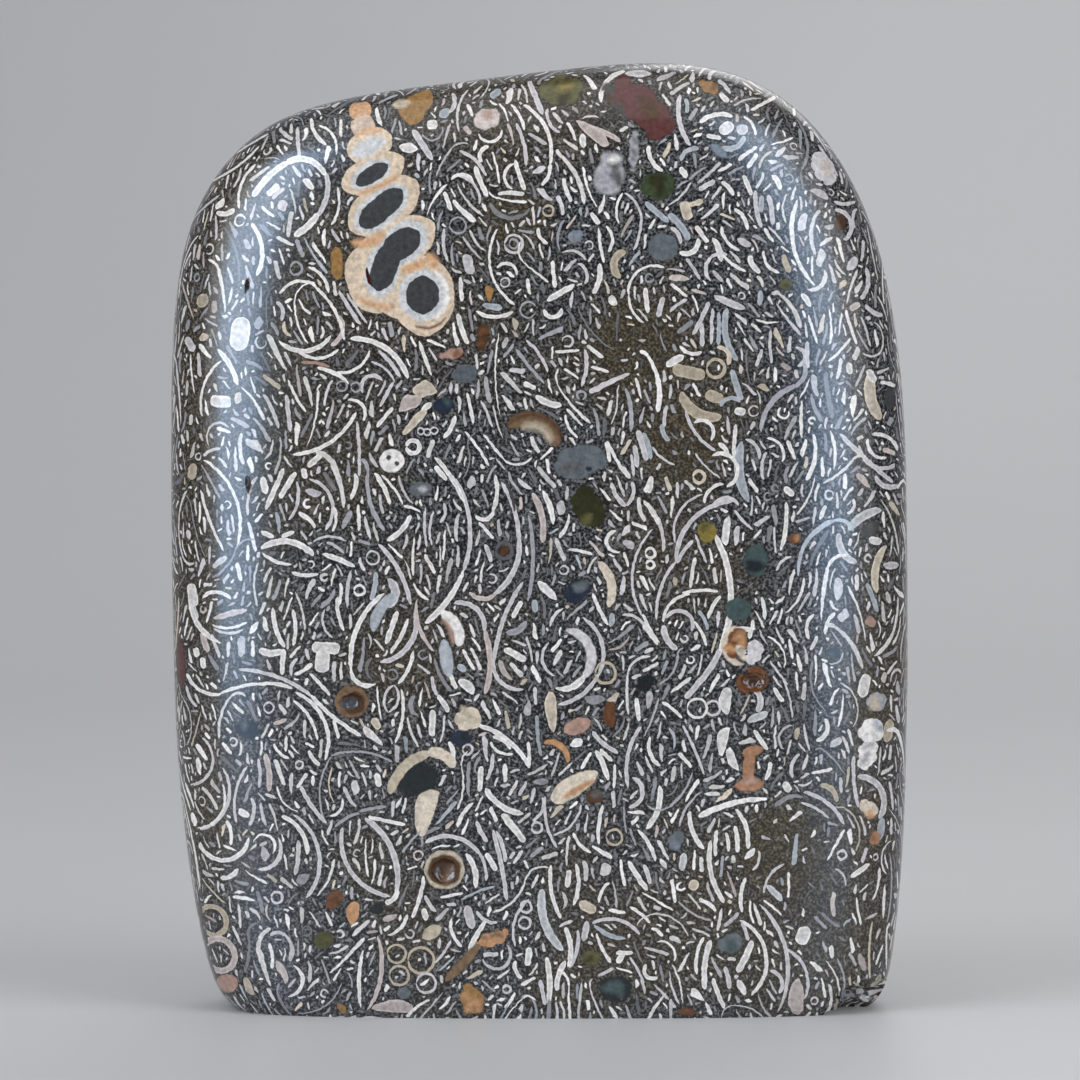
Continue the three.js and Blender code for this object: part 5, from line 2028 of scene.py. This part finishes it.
    def _crossing(
        self, marks: Marks, mark: np.ndarray, face: np.ndarray, quads: np.ndarray
    ) -> tuple[np.ndarray, np.ndarray]:
        """Keeps the pairs whose shell really crosses the face, or whose dark line does.

        Args:
            marks: The shells.
            mark: The shell of each pair.
            face: The face of each pair.
            quads: The four corners of each face, in millimetres.

        Returns:
            The shell of each pair that is kept, and its face.
        """
        steps = 4  # each face is tried at a grid of places, this many steps each way
        slack, reach_past = 0.1, 3
        extra, thin, thickest = 0.2, 0.4, 0.8  # the thicker ones get more slack
        across = (np.arange(steps + 1) / steps)[:, None]
        up = across.T
        weights = [(1 - across) * (1 - up), across * (1 - up), across * up, (1 - across) * up]
        weights = np.stack(weights).reshape(4, -1)
        kept = []
        for start in range(0, len(mark), self.PAIRS):
            rows = slice(start, start + self.PAIRS)
            some = marks.pick(mark[rows])
            corners = quads[face[rows]]
            points = np.einsum("kp,nkc->npc", weights, corners) - some.centre[:, None]
            x = np.einsum("npc,nc->np", points, some.along)
            y = np.einsum("npc,nc->np", points, some.across)
            rise = np.abs(np.einsum("npc,nc->np", points, some.normal)).min(1)
            facing = np.cross(corners[:, 2] - corners[:, 0], corners[:, 3] - corners[:, 1])
            facing = np.einsum("nc,nc->n", facing, some.normal)
            edge = np.maximum(self.halo, some.soft * 0.5)
            limit = edge + slack + extra * np.clip(some.thick - thin, 0, thickest)
            near = rise < some.reach + reach_past
            kept.append((some.depth(x, y).min(1) < limit) & (facing > 0) & near)
        kept = np.concatenate(kept)
        return mark[kept], face[kept]

    @staticmethod
    def _ranked(
        marks: Marks, mark: np.ndarray, face: np.ndarray
    ) -> tuple[np.ndarray, np.ndarray, np.ndarray]:
        """Gives each pair a slot on its face, and drops the last shell where there are too many.

        Args:
            marks: The shells.
            mark: The shell of each pair.
            face: The face of each pair.

        Returns:
            The shell of each pair that is kept, its face, and its slot.
        """
        order = np.lexsort((mark, face))
        mark, face = mark[order], face[order]
        dropped = np.zeros(len(marks), bool)
        while True:
            slot = np.arange(len(face)) - np.searchsorted(face, face)
            if slot.max() < SLOTS:
                LOG.info("%d shells dropped from crowded faces", dropped.sum())
                return mark, face, slot
            last = np.append(face[1:] != face[:-1], True)
            dropped[mark[last & (slot >= SLOTS)]] = True
            keep = ~dropped[mark]
            mark, face = mark[keep], face[keep]

    @staticmethod
    def _write(
        mesh: bpy.types.Mesh,
        number: int,
        marks: Marks,
        held: np.ndarray,
        held_at: np.ndarray,
        corners: np.ndarray,
    ) -> None:
        """Writes one slot's attributes.

        Args:
            mesh: The block's mesh.
            number: The slot.
            marks: The shells.
            held: The shell that each face holds there, or -1.
            held_at: The same for each corner of a face.
            corners: Where each corner is.
        """
        none = held < 0
        no_place, no_shape, no_tint = (99.0, 99.0, 0.0), (1.0, 1.0, 0.0, 2.0), (0.0, 0.0, 0.0, 1.0)
        local = np.full((len(corners), 3), no_place)
        at = held_at >= 0
        rows = held_at[at]
        offset = corners[at] - marks.centre[rows]
        local[at, 0] = (offset * marks.along[rows]).sum(1)
        local[at, 1] = (offset * marks.across[rows]).sum(1)
        local[at, 2] = marks.skew[rows]
        shape = np.stack([marks.bend, marks.reach, marks.thick, marks.taper], 1)[held]
        shape[none] = no_shape
        tint = np.concatenate([marks.tint, marks.soft[:, None]], 1)[held]
        tint[none] = no_tint
        for name, kind, domain, field, values in (
            ("place", "FLOAT_VECTOR", "CORNER", "vector", local),
            ("shape", "FLOAT_COLOR", "FACE", "color", shape),
            ("tint", "FLOAT_COLOR", "FACE", "color", tint),
        ):
            layer = mesh.attributes.new(f"shell_{number}_{name}", kind, domain)
            layer.data.foreach_set(field, values.astype(np.float32).ravel())


@dataclass(frozen=True)
class RockFinish:
    """The polished rock: a dark gritty matrix with pale shells in it."""

    name: str = "polished_shell_rock"
    roughness: float = 0.15
    matrix: Triple = linear(16, 17, 19)
    brown: Triple = linear(50, 44, 33)
    grit: Triple = linear(136, 136, 138)
    brown_grit: Triple = linear(120, 111, 90)
    grain: float = 0.42  # how big the matrix's grains are
    wobble: float = 0.42  # how far the shells' edges wander
    wobble_size: float = 0.9
    mottle: float = 0.4  # how much lighter and darker the rock is from place to place
    mottle_size: float = 0.8
    speckle: float = 0.6  # and from grain to grain
    edge_line: float = 0.16  # how wide the dark line round each shell is
    edge_dark: float = 0.6  # how much darker the matrix is there
    rim: float = 18.0  # how much darker a shell is inside its rim, for how sharp its edge is
    rim_width: float = 0.16
    rim_fall: float = 0.3  # how far in from the rim it goes on darkening
    rim_softest: float = 0.1  # an edge softer than this has no rim
    relief_size: float = 0.7
    relief: float = 0.00004  # how deep the polish undulates, in metres
    dull: float = 0.06  # how much rougher the matrix is than the shells
    ior: float = 1.54

    def material(self) -> bpy.types.Material:
        """Builds the material.

        Returns:
            The material.
        """
        material = bpy.data.materials.new(self.name)
        material.use_nodes = True
        material.node_tree.nodes.clear()
        nodes = Nodes(material.node_tree)
        metres = nodes.out("ShaderNodeTexCoord", name="Object")
        place = nodes.out("ShaderNodeVectorMath", {"operation": "SCALE"}, {0: metres, "Scale": 1 / MM})
        fine = nodes.noise(place, self.grain, 3.0) - 0.5
        cloud = nodes.noise(place, self.mottle_size, 1.0) - 0.5
        colour = self._ground(nodes, place, fine)
        wander = nodes.noise(place, self.wobble_size, 2.0, "Color")
        drift = nodes.vector("SUBTRACT", wander, (0.5, 0.5, 0.5))
        drift_x, drift_y, _ = (part * self.wobble for part in nodes.split(drift))
        texture = 1.0 + cloud * self.mottle + fine * self.speckle
        far_off = 9.0
        nearest: Value = far_off
        bodies: Value = 0.0
        tints = []
        for number in range(SLOTS):
            inside, tint, depth = self._shell(nodes, number, (drift_x, drift_y), cloud, texture)
            nearest = depth.below(nearest)
            tints.append((inside, tint))
            bodies = inside.above(bodies)
        shadow = nearest.rise(0.0, self.edge_line) * self.edge_dark + (1.0 - self.edge_dark)
        colour = self._toned(nodes, colour, shadow)
        for inside, tint in tints:
            colour = nodes.mix(inside, colour, tint)
        height = nodes.noise(place, self.relief_size, 1.0)
        relief = {"Strength": 0.1, "Distance": self.relief, "Height": height}
        bump = nodes.out("ShaderNodeBump", None, relief)
        rough = self.roughness + (1.0 - bodies) * self.dull
        shader = {"Base Color": colour, "Roughness": rough, "Normal": bump, "IOR": self.ior}
        surface = nodes.out("ShaderNodeBsdfPrincipled", None, shader)
        nodes.node("ShaderNodeOutputMaterial", None, {"Surface": surface})
        return material

    @staticmethod
    def _toned(nodes: Nodes, colour: object, tone: Sock) -> Sock:
        """A colour made darker or lighter all through."""
        return nodes.mix(1.0, colour, nodes.thrice(tone), "MULTIPLY")

    def _ground(self, nodes: Nodes, place: Sock, fine: Sock) -> Sock:
        """Makes the matrix's colour between its grains, browner in places.

        Args:
            nodes: The material's tree.
            place: The place, in millimetres.
            fine: Noise that the grains are cut out of.

        Returns:
            The colour.
        """
        brown_area, brown_from, brownest, front = 30.0, (0.44, 0.62), 0.75, -22.0
        grains_from = (-0.1, 0.26)
        warm = nodes.noise(place, brown_area, 3.0).rise(*brown_from) * brownest
        for patch in BROWN_PATCHES:
            settings = {"operation": "DISTANCE"}
            ends = {0: place, 1: (patch.x, front, patch.z)}
            distance = nodes.out("ShaderNodeVectorMath", settings, ends, "Value")
            warm = warm.above(distance.rise(patch.radius, patch.radius * 0.4))
        ground = nodes.mix(warm, self.matrix, self.brown)
        grains = nodes.mix(warm, self.grit, self.brown_grit)
        return nodes.mix(fine.rise(*grains_from), ground, grains)

    def _shell(
        self, nodes: Nodes, number: int, drift: tuple[Sock, Sock], cloud: Sock, texture: Sock
    ) -> tuple[Sock, Sock, Sock]:
        """Draws the shell that a face holds in one slot.

        Args:
            nodes: The material's tree.
            number: The slot.
            drift: How the edges wander along the shell, and across it.
            cloud: Noise that mottles the bigger ones.
            texture: How light or dark the rock's own texture makes it.

        Returns:
            Whether the place is inside it, its colour, and how far outside it the place is.
        """
        names = [f"shell_{number}_{name}" for name in ("place", "shape", "tint")]
        read = [nodes.node("ShaderNodeAttribute", {"attribute_name": name}) for name in names]
        x, y, skew = nodes.split(Sock(nodes, read[0].outputs["Vector"]))
        bend, reach, thick = nodes.split(Sock(nodes, read[1].outputs["Color"]))
        taper, soft = (Sock(nodes, each.outputs["Alpha"]) for each in read[1:])
        x = x + drift[0]
        y = y + drift[1]
        level = bend - y
        radius = (x * x + level * level).math("SQRT")
        off = bend - radius
        run = x.math("ARCTAN2", level) * bend + off * skew * Marks.SLANT
        share = abs(run) / reach
        body = (1.0 - share.below(1.0) ** taper) ** Marks.END_SHAPE
        half = thick * body * (1.0 + skew * run / reach)
        depth = abs(off) - half + (abs(run) - reach).above(0.0)
        inside = nodes.math("SUBTRACT", 0.5, depth / soft, clamp=True)
        inwards = (depth + self.rim_width).below(0.0).above(-self.rim_fall)
        rim = 1.0 + inwards * (self.rim_softest - soft).above(0.0) * self.rim
        tint = Sock(nodes, read[2].outputs["Color"])
        mottled = texture + cloud * thick.below(0.6)
        return inside, self._toned(nodes, tint, rim * mottled), depth


# ---------------------------------------------------------------------------------------------
# The studio
# ---------------------------------------------------------------------------------------------


@dataclass(frozen=True)
class Softbox:
    """One soft light, placed by where it stands round the stone and aimed at it, in metres.

    A gloss card only shows in the polish, as a white card that is held up for its reflection.
    """

    name: str
    bearing: float  # degrees from straight in front, to the right
    distance: float
    height: float
    size: tuple[float, float]
    power: float
    colour: Triple = (1.0, 1.0, 1.0)
    aim: float = 0.075
    gloss_card: bool = False

    def make(self) -> None:
        """Hangs the light."""
        light = bpy.data.lights.new(self.name, "AREA")
        light.shape = "RECTANGLE"
        light.size, light.size_y = self.size
        light.energy = self.power
        light.color = self.colour
        lamp = bpy.data.objects.new(self.name, light)
        turn = radians(self.bearing)
        lamp.location = (self.distance * sin(turn), -self.distance * cos(turn), self.height)
        towards = Vector((0, 0, self.aim)) - lamp.location
        lamp.rotation_euler = towards.to_track_quat("-Z", "Y").to_euler()
        lamp.visible_diffuse = not self.gloss_card
        bpy.context.scene.collection.objects.link(lamp)


@dataclass
class Studio:
    """A plain pale floor that curves up behind, soft lights, and the camera, in metres."""

    distance: float = 0.9  # from the camera to the stone
    eye: float = 0.104  # the camera's height
    aim: float = 0.0741  # the height that it looks at
    lens: float = 187.6
    film: float = 36.0
    room: Triple = (0.15, 0.153, 0.16)
    floor_colour: Triple = linear(214, 214, 216)
    floor_roughness: float = 0.45
    boxes: tuple[Softbox, ...] = (
        Softbox("left_box", -50, 1.1, 0.6, (0.8, 1.1), 6.4),
        Softbox("right_box", 50, 1.1, 0.6, (0.8, 1.1), 5.4),
        Softbox("top_box", 0, 0.35, 1.5, (1.7, 1.5), 7.0),
        Softbox("back_box", 160, 1.1, 0.9, (0.8, 0.8), 3.0),
        Softbox("left_card", -42, 0.5, 0.3, (0.24, 0.6), 3.3, (0.45, 0.68, 1.0), gloss_card=True),
        Softbox("right_card", 38, 0.5, 0.3, (0.2, 0.6), 1.7, (0.45, 0.68, 1.0), gloss_card=True),
    )

    def build(self) -> None:
        """Sets up everything round the stone."""
        self._floor()
        for box in self.boxes:
            box.make()
        world = bpy.data.worlds.new("room")
        world.use_nodes = True
        world.node_tree.nodes["Background"].inputs[0].default_value = (*self.room, 1)
        bpy.context.scene.world = world
        bpy.context.scene.view_settings.view_transform = "Standard"
        self._camera()

    def _floor(self) -> None:
        """Lays the floor, and its curve up into a backdrop."""
        half, near, far, bend, top, steps = 3.0, -3.0, 1.4, 0.6, 2.4, 24
        profile = [(near, 0.0), (far - bend, 0.0)]
        for turn in np.linspace(0, pi / 2, steps)[1:]:
            profile.append((far - bend + bend * sin(turn), bend - bend * cos(turn)))
        profile.append((far, top))
        verts = [(x, y, z) for y, z in profile for x in (-half, half)]
        faces = [(2 * i, 2 * i + 1, 2 * i + 3, 2 * i + 2) for i in range(len(profile) - 1)]
        mesh = bpy.data.meshes.new("floor")
        mesh.from_pydata(verts, [], faces)
        mesh.shade_smooth()
        material = bpy.data.materials.new("pale_floor")
        material.use_nodes = True
        shader = material.node_tree.nodes["Principled BSDF"]
        shader.inputs["Base Color"].default_value = (*self.floor_colour, 1)
        shader.inputs["Roughness"].default_value = self.floor_roughness
        mesh.materials.append(material)
        floor = bpy.data.objects.new("floor", mesh)
        bpy.context.scene.collection.objects.link(floor)

    def _camera(self) -> None:
        """Stands the camera in front, a little above the middle of the stone."""
        data = bpy.data.cameras.new("camera")
        data.lens = self.lens
        data.sensor_width = self.film
        camera = bpy.data.objects.new("camera", data)
        camera.location = (0, -self.distance, self.eye)
        towards = Vector((0, 0, self.aim)) - camera.location
        camera.rotation_euler = towards.to_track_quat("-Z", "Y").to_euler()
        bpy.context.scene.collection.objects.link(camera)
        bpy.context.scene.camera = camera


def main() -> None:
    """Builds the stone and the studio round it."""
    logging.basicConfig(level=logging.INFO, format="%(message)s")
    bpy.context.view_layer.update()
    Studio().build()
    stone = Stone(Block()).build(RockFinish().material())
    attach(stone, "root")
    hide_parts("stone")
    stone.data.calc_loop_triangles()
    LOG.info("%s: %d triangles", stone.name, len(stone.data.loop_triangles))


if __name__ == "__main__":
    main()
